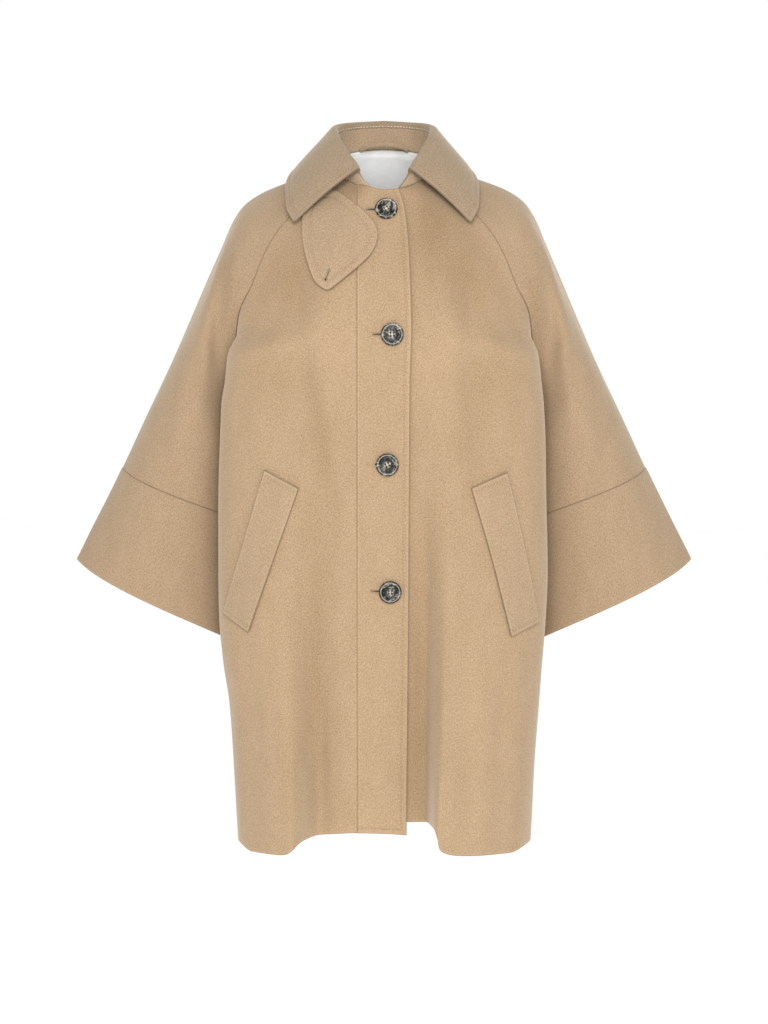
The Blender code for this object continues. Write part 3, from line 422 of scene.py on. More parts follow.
# Corners of each slanted pocket welt: height and place along X, from its top
WELTS = {
    "pocket_welt_right": table(
        ("along", "inner_x", "inner_z", "outer_x", "outer_z"),
        (0.0, -104.2, -400.5, -147, -378),
        (0.5, -135.7, -490, -173.5, -469),
        (1.0, -167, -580, -200, -558),
    ),
    "pocket_welt_left": table(
        ("along", "inner_x", "inner_z", "outer_x", "outer_z"),
        (0.0, 106.3, -400, 151.5, -381),
        (0.5, 132.8, -492, 173.5, -473),
        (1.0, 156.4, -585, 192.5, -569),
    ),
}
WELT_LONG_ROWS = 60
WELT_ACROSS = 22

BUTTONS = table(
    ("x", "z"),
    (2.9, -58.5),
    (10.1, -212),
    (4.1, -371),
    (7.7, -528),
)

# Hanger loop: half its length along the neck, how far it stands off, its strip
LOOP_HALF_LENGTH = 31 * MM
LOOP_STANDOFF = 11 * MM
LOOP_WIDTH = 5 * MM
LOOP_THICKNESS = 2.4 * MM
LOOP_RISE = 8 * MM
LOOP_SEGMENTS = 48
LOOP_SHARES = (-0.5, -0.46, -0.38, -0.25, -0.1, 0.1, 0.25, 0.38, 0.46, 0.5)
LOOP_END_Y = 48.2 * MM
LOOP_END_Z = 24.6 * MM

# The part of the lining that shows below the back neck
LINING_ROWS = 60
LINING_TOP = 0.002
LINING_TUCK = 2.6 * MM
LINING_BOTTOM = 0.45
LINING_INSET = 3.6 * MM
LINING_HALF_COLUMNS = 60
LINING_LAST = 1.8
LINING_RIDGE = 7.5 * MM
LINING_BEND = 24 * MM
LINING_FADE = 19 * MM
LINING_CALM = 14 * MM
LINING_TUCK_REACH = 9 * MM

# How far up the collar the stitch row inside the stand runs, and how far below its top
STAND_STITCH_REACH = 0.62
STAND_STITCH = 2.0 * MM
LEAF_HALF_RUN = 300 * MM
LEAF_CORNER = 4 * MM
LEAF_TOP_CALM = 20 * MM
ROLL_EVENNESS = 16 * MM
CUT_EASE = 1.01
TAB_CUT_EASE = 1.04
NARROWEST_CUT = 14 * MM
CUTS = []

# The throat tab: its middle, its rings in from the edge, and where its stitches end
TAB_CENTRE = (-58.0, -92.0)
TAB_RINGS = (0.0, 0.3, 0.8, 1.3, 2.2, 3.6, 5.4, 7.2, 8.4, 9.1, 9.5, 9.8, 10.1, 10.6, 11.4, 13.0,
             15.5, 19.0, 23.0)
TAB_STITCH_TOP = -46 * MM
TAB_HIDDEN_LOW = -0.064
TAB_HIDDEN_HIGH = -0.042
COVER_GAP = 0.5 * MM
KEYHOLE_EYE = (-70.9, -145.3)
KEYHOLE_END = (-65.9, -131.8)
# Widths of the painted shadow in the keyhole's slit and in the eyelet
KEYHOLE_MOUTH = 0.7 * MM
KEYHOLE_HALF_GAP = 1.3 * MM
EYELET_RADIUS = 2.2 * MM
EYELET_MOUTH = (1.2 * MM, 3.0 * MM)
TAB_RAY_REACH = 0.97
TAB_RAY_POINTS = 70
TAB_MIDDLE_RINGS = (0.25, 0.5, 0.75, 0.93)
TAB_OUTLINE_HEIGHTS = 240
PATCH_SIZE = 0.1
PATCH_HIDDEN_WEIGHT = 0.05
COVER_SEARCH = 60 * MM
COVER_REACH = 80 * MM

# Close rows at the ends of a welt, close columns at its sides, and its length
WELT_NEAR = (0.0, 0.3, 0.8, 1.4, 2.4, 4.0, 5.4, 6.0, 6.4, 6.6, 6.9, 7.4, 8.4)
WELT_LENGTH = 0.2
# Painted shade: a dark rim round each welt, between WELT_RIM_START and WELT_RIM_END
WELT_RIM_SHADE = 1.8
WELT_RIM_START = 0.3 * MM
WELT_RIM_END = 1.3 * MM
WELT_EDGE_START = 0.8 * MM
WELT_EDGE_END = 1.8 * MM
WELT_STITCH_MARGIN = 2 * MM
WELT_EASE_ROUNDS = 12
WELT_SIDE_NEAR = (0.0, 0.007, 0.018, 0.032, 0.055, 0.09)

BUTTON_TURNS = (30, 4, 28, 0)
BUTTON_STEPS = 72
BUTTONHOLE_REACH = 24.0
BUTTONHOLE_LIFT = (0.0, 0.0, 0.6, 1.2)
BUTTON_RADIUS = 14.0 * MM
BUTTON_THICKNESS = 3.6 * MM
BUTTON_HOLE_RADIUS = 1.35 * MM
BUTTON_HOLE_SPACING = 2.7 * MM
BUTTON_STANDOFF = 0.7 * MM

# Buttonholes in the placket: their near end from the button's middle, the width of the painted
# shadow in their mouth, and stitches
BUTTONHOLE_NEAR = 6.0
BUTTONHOLE_MOUTH = 1.7 * MM
BUTTONHOLE_HALF_GAP = 1.7 * MM
BAR_OVERHANG = 0.5 * MM
BAR_HALF_LENGTH = 1.9 * MM

# Tones of the wool where it lies light, where it lies dark, and the deep tone of the shade painted
# in seams, stitch grooves and edge rims
BODY_TONES = ((0.540, 0.382, 0.236), (0.515, 0.361, 0.219), (0.15, 0.096, 0.052))
SLEEVE_TONES = ((0.512, 0.366, 0.230), (0.488, 0.346, 0.215), (0.15, 0.096, 0.052))
COLLAR_TONES = ((0.445, 0.329, 0.220), (0.425, 0.312, 0.206), (0.14, 0.092, 0.052))
# The stand's copy is lighter than the collar's: painted light against the shade inside the neck,
# worn by the hanger loop too
STAND_LIT_TONES = ((0.570, 0.420, 0.280), (0.545, 0.400, 0.264), (0.15, 0.098, 0.056))
TRIM_TONES = ((0.535, 0.386, 0.245), (0.505, 0.361, 0.227), (0.15, 0.096, 0.052))
# Multipliers of the patches' tone, from light to dark: partly the napped wool's own tone, partly
# painted shade and light
NAP_AND_SHADE_TONES = ((1.0, 1.0, 1.0), (0.87, 0.87, 0.87), (0.70, 0.67, 0.62))
THREADS = {
    "camel_thread": ((0.60, 0.42, 0.25), (0.46, 0.31, 0.175)),
    "pale_thread": ((0.86, 0.74, 0.58), (0.70, 0.58, 0.43)),
    "buttonhole_thread": ((0.36, 0.25, 0.15), (0.22, 0.15, 0.088)),
    "button_thread": ((0.05, 0.043, 0.036), (0.02, 0.017, 0.014)),
    # Not a thread: the dark of the buttonhole mouths, a painted shadow
    "buttonhole_mouth_shadow": ((0.035, 0.024, 0.016), (0.018, 0.012, 0.008)),
}
SEAM_SHADE = 0.42
# Lightening of free edges: partly wear, partly a painted highlight where rolled edges catch light
EDGE_LIGHT = 0.3
WOOL_SHEEN = 0.42

# Studio: floor, surroundings, lights (place, aim, size, power) and the camera
FLOOR_Z = -1.45
FLOOR_HALF = 14.0
FLOOR_GLOW = 0.4
SURROUND_STRENGTH = 0.62
LIGHTS = (
    ("key_light", (-0.15, -3.1, 1.1), (0.0, 0.0, -0.4), (1.3, 1.3), 60.0),
    ("fill_light", (0.5, -3.0, 0.0), (0.0, 0.0, -0.4), (1.6, 1.6), 27.0),
)
CAMERA_PLACE = (0.0, -3.0, -0.230)
CAMERA_AIM = (0.0, 0.0, -0.438)
CAMERA_LENS = 82.6
CAMERA_SENSOR = 36.0

# Soft creases: place along X and Z at both ends, depth inwards, front -1 or back 1
CREASES = table(
    ("x_top", "z_top", "x_bottom", "z_bottom", "half_width", "depth", "face"),
    (-100, -480, -78, -940, 26, 6.5, -1),
    (-60, -180, -66, -520, 30, 2.2, -1),
    (46, -330, 50, -880, 17, 4.5, -1),
    (102, -115, 112, -345, 24, 2.8, -1),
    (-100, -120, -92, -400, 26, 2.4, -1),
    (-184, -40, -192, -215, 11, -2.0, -1),
    (-201, -95, -214, -300, 13, 3.6, -1),
    (-216, -160, -232, -330, 12, -1.8, -1),
    (184, -40, 194, -215, 11, -2.0, -1),
    (203, -100, 217, -305, 13, 3.6, -1),
    (221, -170, 236, -340, 12, -1.8, -1),
    (-262, -250, -300, -430, 22, 2.4, -1),
    (258, -250, 292, -420, 22, 2.4, -1),
    (92, -560, 110, -900, 26, 2.2, -1),
    (150, -300, 168, -520, 18, 1.8, -1),
    (-186, -60, -205, -290, 14, 3.4, 1),
    (188, -70, 208, -300, 14, 3.4, 1),
    (-255, -230, -292, -430, 22, 2.6, 1),
    (250, -240, 290, -430, 22, 2.6, 1),
    (-20, -120, -28, -420, 24, 2.0, 1),
    (30, -130, 44, -380, 22, 1.8, 1),
)

# Patches darker (above 0) or lighter (below 0) on the front, partly the napped wool's own tone and
# partly painted shade and light, such as the shadows under the collar leaf: place, reach, slant
NAP_AND_SHADE = table(
    ("x", "z", "half_width", "half_height", "lean", "tone"),
    (-116, -140, 46, 52, 0.0, 0.75),
    (98, -134, 50, 60, 0.0, 0.8),
    (-73, -245, 48, 62, 0.0, -0.35),
    (66, -238, 40, 62, 0.0, -0.45),
    (-77, -325, 13, 100, -0.16, 0.65),
    (-81, -610, 20, 190, -0.03, 0.6),
    (45, -690, 15, 200, 0.0, 0.6),
    (107, -353, 20, 90, -0.1, 0.35),
    (-18, -700, 36, 170, 0.0, -0.4),
    (117, -696, 36, 150, 0.0, -0.35),
    (-150, -640, 34, 170, 0.0, -0.3),
    (0, -850, 240, 60, 0.0, -0.5),
    (-195, -145, 13, 60, 0.15, 0.5),
    (190, -168, 13, 70, -0.15, 0.5),
    (58, -66, 24, 24, -0.4, 0.8),
    (-36, -34, 14, 10, 0.0, 1.0),
    (34, -26, 12, 8, 0.0, 0.6),
    (50, -96, 22, 36, 0.0, 0.5),
    (158, -82, 34, 60, 0.0, -0.6),
    (-160, -86, 34, 60, 0.0, -0.4),
    (-128, -264, 46, 38, 0.0, 0.4),
    (128, -264, 46, 38, 0.0, 0.4),
)


# Interpolation and curves

def at(data, column, key, where):
    """Interpolate one column of a table with a cubic that doesn't overshoot."""
    xs = data[key]
    ys = data[column]
    where = np.clip(np.asarray(where, float), xs[0], xs[-1])
    steps = np.diff(xs)
    slopes = np.diff(ys) / steps
    tangents = np.zeros(len(xs))
    for i in range(1, len(xs) - 1):
        if slopes[i - 1] * slopes[i] > 0:
            first = 2 * steps[i] + steps[i - 1]
            second = steps[i] + 2 * steps[i - 1]
            tangents[i] = (first + second) / (first / slopes[i - 1] + second / slopes[i])
    tangents[0] = slopes[0]
    tangents[-1] = slopes[-1]
    cell = np.clip(np.searchsorted(xs, where, side="right") - 1, 0, len(xs) - 2)
    step = steps[cell]
    part = (where - xs[cell]) / step
    return (
        ys[cell] * (1 + 2 * part) * (1 - part) ** 2
        + tangents[cell] * step * part * (1 - part) ** 2
        + ys[cell + 1] * part ** 2 * (3 - 2 * part)
        - tangents[cell + 1] * step * part ** 2 * (1 - part)
    )


def metres(data, column, down):
    """One value of a table of rows, in metres."""
    return float(at(data, column, "down", down)) * MM


def point_at(data, down):
    """A point of a seam, in metres."""
    return np.array([metres(data, axis, down) for axis in "xyz"])


def smoothstep(low, high, value):
    """0 below low, 1 above high, smooth between them."""
    part = np.clip((value - low) / (high - low), 0.0, 1.0)
    return part * part * (3 - 2 * part)


def heading(degrees):
    """A unit vector in the horizontal plane."""
    return np.array([math.cos(math.radians(degrees)), math.sin(math.radians(degrees))])


def unit(vector):
    """The vector at length 1."""
    length = np.linalg.norm(vector)
    return vector / length if length > 1e-12 else vector


def units(vectors):
    """Each vector of an array at length 1."""
    return vectors / np.linalg.norm(vectors, axis=-1, keepdims=True)


def bezier(points, count=CURVE_POINTS):
    """Points along a cubic Bezier curve."""
    t = np.linspace(0.0, 1.0, count)[:, None]
    a, b, c, d = (np.asarray(point, float) for point in points)
    return (1 - t) ** 3 * a + 3 * t * (1 - t) ** 2 * b + 3 * t ** 2 * (1 - t) * c + t ** 3 * d


def swept(start, start_heading, end, end_heading, fullness=0.6):
    """A flat curve that leaves and arrives on two headings."""
    leave = heading(start_heading)
    arrive = heading(end_heading)
    chord = np.subtract(end, start)
    first = start + leave * fullness * abs(chord @ leave)
    second = end - arrive * fullness * abs(chord @ arrive)
    return bezier((start, first, second, end))


def distances_along(points):
    """Distance travelled at each point of a polyline."""
    steps = np.linalg.norm(np.diff(points, axis=0), axis=1)
    return np.concatenate([[0.0], np.cumsum(steps)])


def lengths_along(points):
    """Distance along a polyline, from 0 to 1."""
    run = distances_along(points)
    return run / run[-1]


def picked(points, run, places):
    """Points of a polyline at the given distances."""
    return np.stack([np.interp(places, run, points[:, i]) for i in range(3)], axis=1)


def respace(row, near_first, near_last, count):
    """A row set out again: close points near its two ends and even ones between."""
    run = distances_along(row)
    total = run[-1]
    first = np.array(near_first) * MM
    last = np.array(near_last) * MM
    crowded = max(first[-1], last[-1], MM)
    scale = min(1.0, 0.3 * total / crowded)
    first = first * scale
    last = total - last[::-1] * scale
    middle = np.linspace(first[-1], last[0], count + 2)[1:-1]
    return picked(row, run, np.concatenate([first, middle, last]))


# Body surfaces

def seam_point(raglan, down):
    """The edge of a body panel: its raglan seam, then the side seam."""
    return point_at(raglan if down <= 1.0 else SIDE_SEAM, down)


def front_curve(side, down):
    """Half a front section: from the middle to the side fold, then to its seam."""
    seam = seam_point(FRONT_RAGLAN, down)
    fold_column = "fold_x_right" if side < 0 else "fold_x_left"
    middle = np.array([0.0, metres(FRONT, "centre_y", down)])
    fold = np.array([metres(FRONT, fold_column, down), metres(FRONT, "fold_y", down)])
    turn = float(at(FRONT, "fold_heading", "down", down))
    arrive = float(at(FRONT, "seam_heading", "down", down))
    inner = swept(middle, 0.0, fold, turn)
    outer = swept(fold, turn, seam[:2], arrive, fullness=0.45)
    return inner, outer, metres(FRONT, "centre_z", down), seam[2]


def soft_folds(folds, x, z):
    """Depth of the soft folds at places on the body."""
    depth = 0.0
    for i in range(len(folds["depth"])):
        run = (folds["z_top"][i] * MM - z) / ((folds["z_top"][i] - folds["z_bottom"][i]) * MM)
        middle = (folds["x_top"][i] + (folds["x_bottom"][i] - folds["x_top"][i]) * run) * MM
        across = 1.0 - smoothstep(0.0, 1.0, abs(x - middle) / (folds["half_width"][i] * MM))
        along = np.sin(math.pi * np.clip(run, 0.0, 1.0))
        depth = depth + folds["depth"][i] * MM * across * along
    return depth


def creased(points):
    """The points moved in or out where a soft crease runs."""
    x, y, z = points[..., 0], points[..., 1], points[..., 2]
    front = 1.0 - smoothstep(-6 * MM, 20 * MM, y)
    back = smoothstep(8 * MM, 34 * MM, y)
    shift = np.zeros(x.shape)
    for i in range(len(CREASES["depth"])):
        top = CREASES["z_top"][i] * MM
        bottom = CREASES["z_bottom"][i] * MM
        run = (top - z) / (top - bottom)
        middle = (CREASES["x_top"][i] + (CREASES["x_bottom"][i] - CREASES["x_top"][i]) * run) * MM
        across = 1.0 - smoothstep(0.0, 1.0, abs(x - middle) / (CREASES["half_width"][i] * MM))
        along = np.sin(math.pi * np.clip(run, 0.0, 1.0)) ** 0.8
        face = CREASES["face"][i]
        weight = front if face < 0 else back
        shift = shift - face * weight * across * along * CREASES["depth"][i] * MM
    moved = points.copy()
    moved[..., 1] = y + shift
    return moved


def nap_and_shade_marks(points):
    """Tone at places on the front, from light (-1) to dark (1): partly the napped wool's own, partly
    painted shade and light.
    """
    x, y, z = points[..., 0] / MM, points[..., 1] / MM, points[..., 2] / MM
    total = np.zeros(x.shape)
    for i in range(len(NAP_AND_SHADE["tone"])):
        across = (x - NAP_AND_SHADE["x"][i] - NAP_AND_SHADE["lean"][i] * (z - NAP_AND_SHADE["z"][i])) / NAP_AND_SHADE["half_width"][i]
        down = (z - NAP_AND_SHADE["z"][i]) / NAP_AND_SHADE["half_height"][i]
        total += NAP_AND_SHADE["tone"][i] * np.exp(-across ** 2 - down ** 2)
    return np.clip(total, -1.0, 1.0) * (1.0 - smoothstep(-20, 20, y))


def valley(down, x, fold_x):
    """Depth of the hollow at the closing."""
    if down <= VALLEY["down"][0]:
        return np.zeros(x.shape)
    left = smoothstep(metres(VALLEY, "left_start", down), metres(VALLEY, "left_end", down), x)
    edge = metres(PLACKET_EDGE, "x", down)
    middle = edge + VALLEY_RIGHT_FRACTION * (fold_x - edge)
    half = metres(VALLEY, "right_half_width", down)
    right = 1.0 - smoothstep(middle - half, middle + half, x)
    return metres(VALLEY, "depth", down) * left * right


def hem_lift(down, x, stations, underlap):
    """The hem rises where the closing lies further back and round the side fold."""
    rise = float(smoothstep(HEM_LIFT_START, 2.0, down)) ** 2
    lift = HEM_LIFT_UNDERLAP if underlap else HEM_LIFT_OVERLAP
    corner = smoothstep(0.87, 1.0, stations) * (1.0 - smoothstep(1.0, 1.6, stations))
    corner = corner * smoothstep(HEM_CORNER_START, 2.0, down) * HEM_CORNER_LIFT
    return rise * at(lift, "lift", "x", x / MM) * MM + corner


def front_row(side, down, stations, edge_x, underlap=False):
    """Points of a front at one row. A station of 1 is the side fold, 2 the seam."""
    inner, outer, centre_z, seam_z = front_curve(side, down)
    fold_x = inner[-1, 0]
    inner_length = distances_along(inner)[-1]
    outer_length = distances_along(outer)[-1]
    part = np.clip(stations - 1.0, 0.0, 1.0)
    outer_run = lengths_along(outer)
    flat_x = edge_x + stations * (fold_x - edge_x)
    on_inner = stations <= 1.0
    x = np.where(on_inner, flat_x, np.interp(part, outer_run, outer[:, 0]))
    y = np.where(on_inner, np.interp(abs(flat_x), inner[:, 0], inner[:, 1]),
                 np.interp(part, outer_run, outer[:, 1]))
    inner_part = np.interp(np.maximum(flat_x, 0.0), inner[:, 0], lengths_along(inner))
    travelled = np.where(on_inner, inner_part * inner_length, inner_length + part * outer_length)
    progress = travelled / (inner_length + outer_length)
    z = centre_z + (seam_z - centre_z) * progress ** 2
    real_x = side * x
    hold = np.where(on_inner, 1.0, 1.0 - smoothstep(1.0, 1.8, stations))
    y = y + valley(down, real_x, fold_x) + hold * soft_folds(FRONT_FOLDS, real_x, z)
    z = z + hem_lift(down, real_x, stations, underlap)
    if underlap:
        edge = metres(PLACKET_EDGE, "x", down)
        fade = min(UNDERLAP_FADE, 0.92 * (fold_x - edge))
        y = y + UNDERLAP_INSET * (1.0 - smoothstep(edge + 2 * MM, edge + fade, real_x))
    return np.stack([real_x, y, z], axis=1)


def front_right_grid():
    """The overlapping front, from its placket seam to its raglan and side seams."""
    stations = np.concatenate([np.linspace(0, 1, INNER_POINTS),
                               np.linspace(1, 2, OUTER_POINTS)[1:]])
    grid = []
    for down in RAGLAN_ROWS + SIDE_ROWS:
        row = front_row(-1, down, stations, PLACKET_SEAM_X)
        grid.append(respace(row, SEAM_NEAR, SEAM_NEAR, FRONT_RIGHT_COLUMNS))
    return np.array(grid)


def front_left_grid():
    """The underlapping front, with the part that the placket covers first."""
    grid = []
    for down in RAGLAN_ROWS + SIDE_ROWS:
        edge = metres(PLACKET_EDGE, "x", down)
        fold_x = front_curve(1, down)[0][-1, 0]
        start = (edge + UNDERLAP_EDGE_X) / (fold_x + UNDERLAP_EDGE_X)
        hidden = np.linspace(0.0, start, UNDERLAP_COLUMNS + 1)
        shown = np.concatenate([np.linspace(start, 1, SHOWN_POINTS),
                                np.linspace(1, 2, OUTER_POINTS)[1:]])
        covered = front_row(1, down, hidden, -UNDERLAP_EDGE_X, underlap=True)
        open_part = front_row(1, down, shown, -UNDERLAP_EDGE_X, underlap=True)
        open_part = respace(open_part, (0.0,), SEAM_NEAR, FRONT_LEFT_COLUMNS)
        grid.append(np.vstack([covered, open_part[1:]]))
    return np.array(grid)


def placket_grid(right):
    """The buttonhole band, whose seam is the first column of the right front."""
    grid = []
    for down, seam in zip(RAGLAN_ROWS + SIDE_ROWS, right[:, 0]):
        edge = metres(PLACKET_EDGE, "x", down)
        fold_x = front_curve(1, down)[0][-1, 0]
        stretches = ((-PLACKET_SEAM_X, -STAND_START_X), (-STAND_START_X, edge))
        halves = []
        for (low, high), near_first, near_last in zip(
                stretches, (SEAM_NEAR, (0.0,)), ((0.0,), STITCHED_NEAR)):
            places = np.linspace(low, high, PLACKET_POINTS)
            stations = (PLACKET_SEAM_X + places) / (fold_x + PLACKET_SEAM_X)
            row = front_row(1, down, stations, -PLACKET_SEAM_X)
            halves.append(respace(row, near_first, near_last, PLACKET_HALF_COLUMNS))
        row = np.vstack([halves[0], halves[1][1:]])
        fade = 1.0 - smoothstep(-PLACKET_SEAM_X, 0.0, row[:, 0])
        row = row + (seam - row[0]) * fade[:, None]
        row[0] = seam
        grid.append(row)
    return np.array(grid)


def back_row(down, stations):
    """Points of the right half of the back at one row, from the middle out."""
    seam = seam_point(BACK_RAGLAN, down)
    middle = np.array([0.0, metres(BACK, "centre_y", down)])
    fold = np.array([metres(BACK, "fold_x", down), metres(BACK, "fold_y", down)])
    turn = float(at(BACK, "fold_heading", "down", down))
    inner = swept(middle, 0.0, fold, turn)
    outer = swept(fold, turn, seam[:2], float(at(BACK, "seam_heading", "down", down)), 0.5)
    curve = np.vstack([inner, outer[1:]])
    run = lengths_along(curve)
    centre_z = metres(BACK, "centre_z", down)
    part = stations / 2.0
    x = np.interp(part, run, curve[:, 0])
    y = np.interp(part, run, curve[:, 1])
    z = centre_z + (seam[2] - centre_z) * part ** 2
    return np.stack([x, y, z], axis=1)


def back_grid():
    """The whole back, from its left seam to its right seam."""
    grid = []
    for down in RAGLAN_ROWS + SIDE_ROWS:
        half = back_row(down, np.linspace(0.0, 2.0, BACK_POINTS))
        row = np.vstack([half[::-1] * (-1, 1, 1), half[1:]])
        row[1:-1, 1] -= soft_folds(BACK_FOLDS, row[1:-1, 0], row[1:-1, 2])
        grid.append(respace(row, SEAM_NEAR, SEAM_NEAR, BACK_COLUMNS))
    return np.array(grid)


def sleeve_grid(side, raglan, shape, rows):
    """Half a sleeve over the given rows, from the overarm line to its seam."""
    drop = 0.0
    if raglan is BACK_RAGLAN:
        drop = CUFF_BACK_DROP_RIGHT if side < 0 else CUFF_BACK_DROP_LEFT
    grid = []
    for down in rows:
        seam = point_at(raglan if down <= 1.0 else UNDERARM, down)
        over = point_at(OVERARM, down)
        over[2] += side * SHOULDER_TILT * math.sin(math.pi * min(down, 1.0))
        reach = float(at(shape, "reach", "down", down)) * np.linalg.norm(over - seam)
        leave = heading(float(at(shape, "over_heading", "down", down))) * reach
        arrive = heading(float(at(shape, "seam_heading", "down", down))) * reach
        rise = SLEEVE_RISE * (seam[2] - over[2])
        curve = bezier((over, over + (*leave, rise), seam + (*arrive, -rise), seam))
        row = respace(curve, SEAM_NEAR, SEAM_NEAR, SLEEVE_COLUMNS) * (side, 1, 1)
        if drop and down > 1.0:
            sag = drop * smoothstep(CUFF_DROP_START, 2.0, down)
            bow = np.sin(math.pi * lengths_along(row)) * sag
            bow[0] = bow[-1] = 0.0
            row = row + bow[:, None] * CUFF_DROP_LEAN * (side, 1, 1)
        grid.append(row)
    return np.array(grid)


# Walls and their relief

def added(name, data):
    """A new object in the scene."""
    thing = bpy.data.objects.new(name, data)
    bpy.context.scene.collection.objects.link(thing)
    return thing


def grid_normals(grid, closed=False):
    """Unit normals of a grid of points, out of its rows times its columns."""
    if closed:
        across = np.roll(grid, -1, axis=1) - np.roll(grid, 1, axis=1)
    else:
        across = np.gradient(grid, axis=1)
    along = np.gradient(grid, axis=0)
    normals = np.cross(across, along)
    length = np.linalg.norm(normals, axis=2, keepdims=True)
    return normals / np.maximum(length, 1e-15)


class Panel:
    """A cloth piece: its grid, its thickness and where it meets others."""

    def __init__(self, name, grid, cloth, flip, corner=(0, 0), proud=0.0):
        self.name = name
        self.grid = creased(grid)
        self.cloth = cloth
        self.depth = cloth - proud
        self.proud = proud
        self.flip = flip
        self.corner = corner
        self.normals = grid_normals(self.grid) * (-1.0 if flip else 1.0)
        self.outer = self.grid + self.normals * proud
        self.inner = self.grid - self.normals * self.depth


def border_runs(i, j, rows, columns):
    """Which border runs a grid point lies on, as steps along them."""
    runs = []
    if j in (0, columns - 1):
        runs.append((1, 0))
    if i in (0, rows - 1):
        runs.append((0, 1))
    return runs


def seam_key(point):
    """Points that meet at a seam have one key."""
    return tuple(np.round(point / (0.02 * MM)).astype(int))


def join_panels(panels):
    """Give panels that share border points one mitred wall line and a seam gap."""
    shared = {}
    for panel in panels:
        rows, columns = panel.grid.shape[:2]
        for i in range(rows):
            for j in range(columns) if i in (0, rows - 1) else (0, columns - 1):
                shared.setdefault(seam_key(panel.grid[i, j]), []).append((panel, i, j))
    for meeting in shared.values():
        names = {panel.name for panel, _, _ in meeting}
        if len(names) < 2:
            continue
        underarm = len(names) >= 4
        mean = unit(sum(panel.normals[i, j] for panel, i, j in meeting))
        if underarm:
            mean = np.array([0.0, 0.0, -1.0])
        for panel, i, j in meeting:
            lean = max(float(mean @ panel.normals[i, j]), 1.0 / MITRE_LIMIT)
            pull = seam_pull(panel, i, j, mean, shared)
            if underarm:
                outwards = panel.corner[0] * np.sign(panel.grid[i, j, 0])
                pull = np.array([outwards, panel.corner[1], 0]) * SEAM_GAP / 2
            panel.outer[i, j] = panel.grid[i, j] + mean / lean * panel.proud + pull
            panel.inner[i, j] = panel.grid[i, j] - mean / lean * panel.depth + pull


def seam_pull(panel, i, j, mean, shared):
    """Half a seam gap away from each seam that runs through a border point."""
    rows, columns = panel.grid.shape[:2]
    point = panel.grid[i, j]
    pull = np.zeros(3)
    for step_i, step_j in border_runs(i, j, rows, columns):
        ahead = panel.grid[min(i + step_i, rows - 1), min(j + step_j, columns - 1)]
        behind = panel.grid[max(i - step_i, 0), max(j - step_j, 0)]
        in_i = i + (1 if i == 0 else -1) * step_j
        in_j = j + (1 if j == 0 else -1) * step_i
        away = unit(np.cross(mean, ahead - behind))
        if away @ (panel.grid[in_i, in_j] - point) < 0:
            away = -away
        if meets_across(panel, i, j, step_i, step_j, shared):
            pull = pull + away * SEAM_GAP / 2
    return pull


def meets_across(panel, i, j, step_i, step_j, shared):
    """Whether the border run through a point is a seam with another panel."""
    rows, columns = panel.grid.shape[:2]
    for sign in (-1, 1):
        next_i = i + sign * step_i
        next_j = j + sign * step_j
        if 0 <= next_i < rows and 0 <= next_j < columns:
            there = shared.get(seam_key(panel.grid[next_i, next_j]), [])
            if len({other.name for other, _, _ in there}) > 1:
                return True
    return False


def border_distances(grid, closed=False):
    """Distance over the cloth from each border of a grid, at every point."""
    across = np.linalg.norm(np.diff(grid, axis=1), axis=2)
    down = np.linalg.norm(np.diff(grid, axis=0), axis=2)
    first = np.concatenate([np.zeros((len(grid), 1)), np.cumsum(across, axis=1)], axis=1)
    top = np.concatenate([np.zeros((1, grid.shape[1])), np.cumsum(down, axis=0)], axis=0)
    far = {"top": top, "bottom": top[-1:] - top, "first": first, "last": first[:, -1:] - first}
    if closed:
        far["first"] = far["last"] = np.full(first.shape, 1.0)
    return far


def ripple(points, size, seed):
    """Smooth unevenness between -1 and 1, the same at the same place."""
    waves = np.random.default_rng(seed)
    total = np.zeros(points.shape[:-1])
    for _ in range(7):
        direction = unit(waves.normal(size=3)) * (1.0, 1.0, 0.45)
        stretch = waves.uniform(0.7, 1.7)
        total = total + np.sin(points @ direction * (2 * math.pi / (size * stretch))
                               + waves.uniform(0, 6.28))
    return total / 4.0


def relief(far, cloth, seams, free, stitched, inset):
    """How far the outer and the inner face lie below the plain wall, and the two marks."""
    shape = far["top"].shape
    seam_drop = np.zeros(shape)
    # mark is painted shade: in seam grooves, as a dark rim along free edges, and in stitch grooves
    mark = np.zeros(shape)
    for border, share in seams.items():
        near = 1.0 - np.clip(far[border] / SEAM_WIDTH, 0.0, 1.0)
        dip = 1.0 - smoothstep(0.0, SEAM_DIP_WIDTH, far[border])
        fall = SEAM_DEPTH * (1.0 - np.sqrt(1.0 - near ** 2)) + SEAM_DIP * dip
        seam_drop = np.maximum(seam_drop, fall * share)
        mark = np.maximum(mark, (1.0 - smoothstep(0.0, SEAM_MARK_REACH, far[border])) * share)
    half = cloth / 2 * EDGE_FULLNESS
    edge_drop = np.zeros(shape)
    # edge: free edges lightened, partly wear and partly a painted highlight
    edge = np.zeros(shape)
    for border in free:
        near = 1.0 - np.clip(far[border] / half, 0.0, 1.0)
        edge_drop = np.maximum(edge_drop, half * (1.0 - np.sqrt(1.0 - near ** 2)))
        edge = np.maximum(edge, 1.0 - smoothstep(0.0, EDGE_REACH, far[border]))
        mark = np.maximum(mark, EDGE_RIM_SHADE * (1.0 - smoothstep(RIM_START, RIM_END, far[border])))
    edge = edge * (1.0 - np.clip(mark, 0.0, 1.0))
    outer_drop = np.maximum(seam_drop, edge_drop)
    if stitched:
        nearest = np.min([far[border] for border in stitched], axis=0)
        groove = np.exp(-((nearest - inset) / STITCH_WIDTH) ** 2)
        crown = np.sin(math.pi * np.clip(nearest / inset, 0.0, 1.0))
        behind = 1.0 - smoothstep(0.0, GROOVE_REACH, abs(nearest - inset))
        outer_drop = outer_drop + STITCH_DEPTH * groove - PILLOW * crown + PILLOW * behind
        mark = np.maximum(mark, STITCH_SHADE * groove)
    return outer_drop, edge_drop, mark, edge


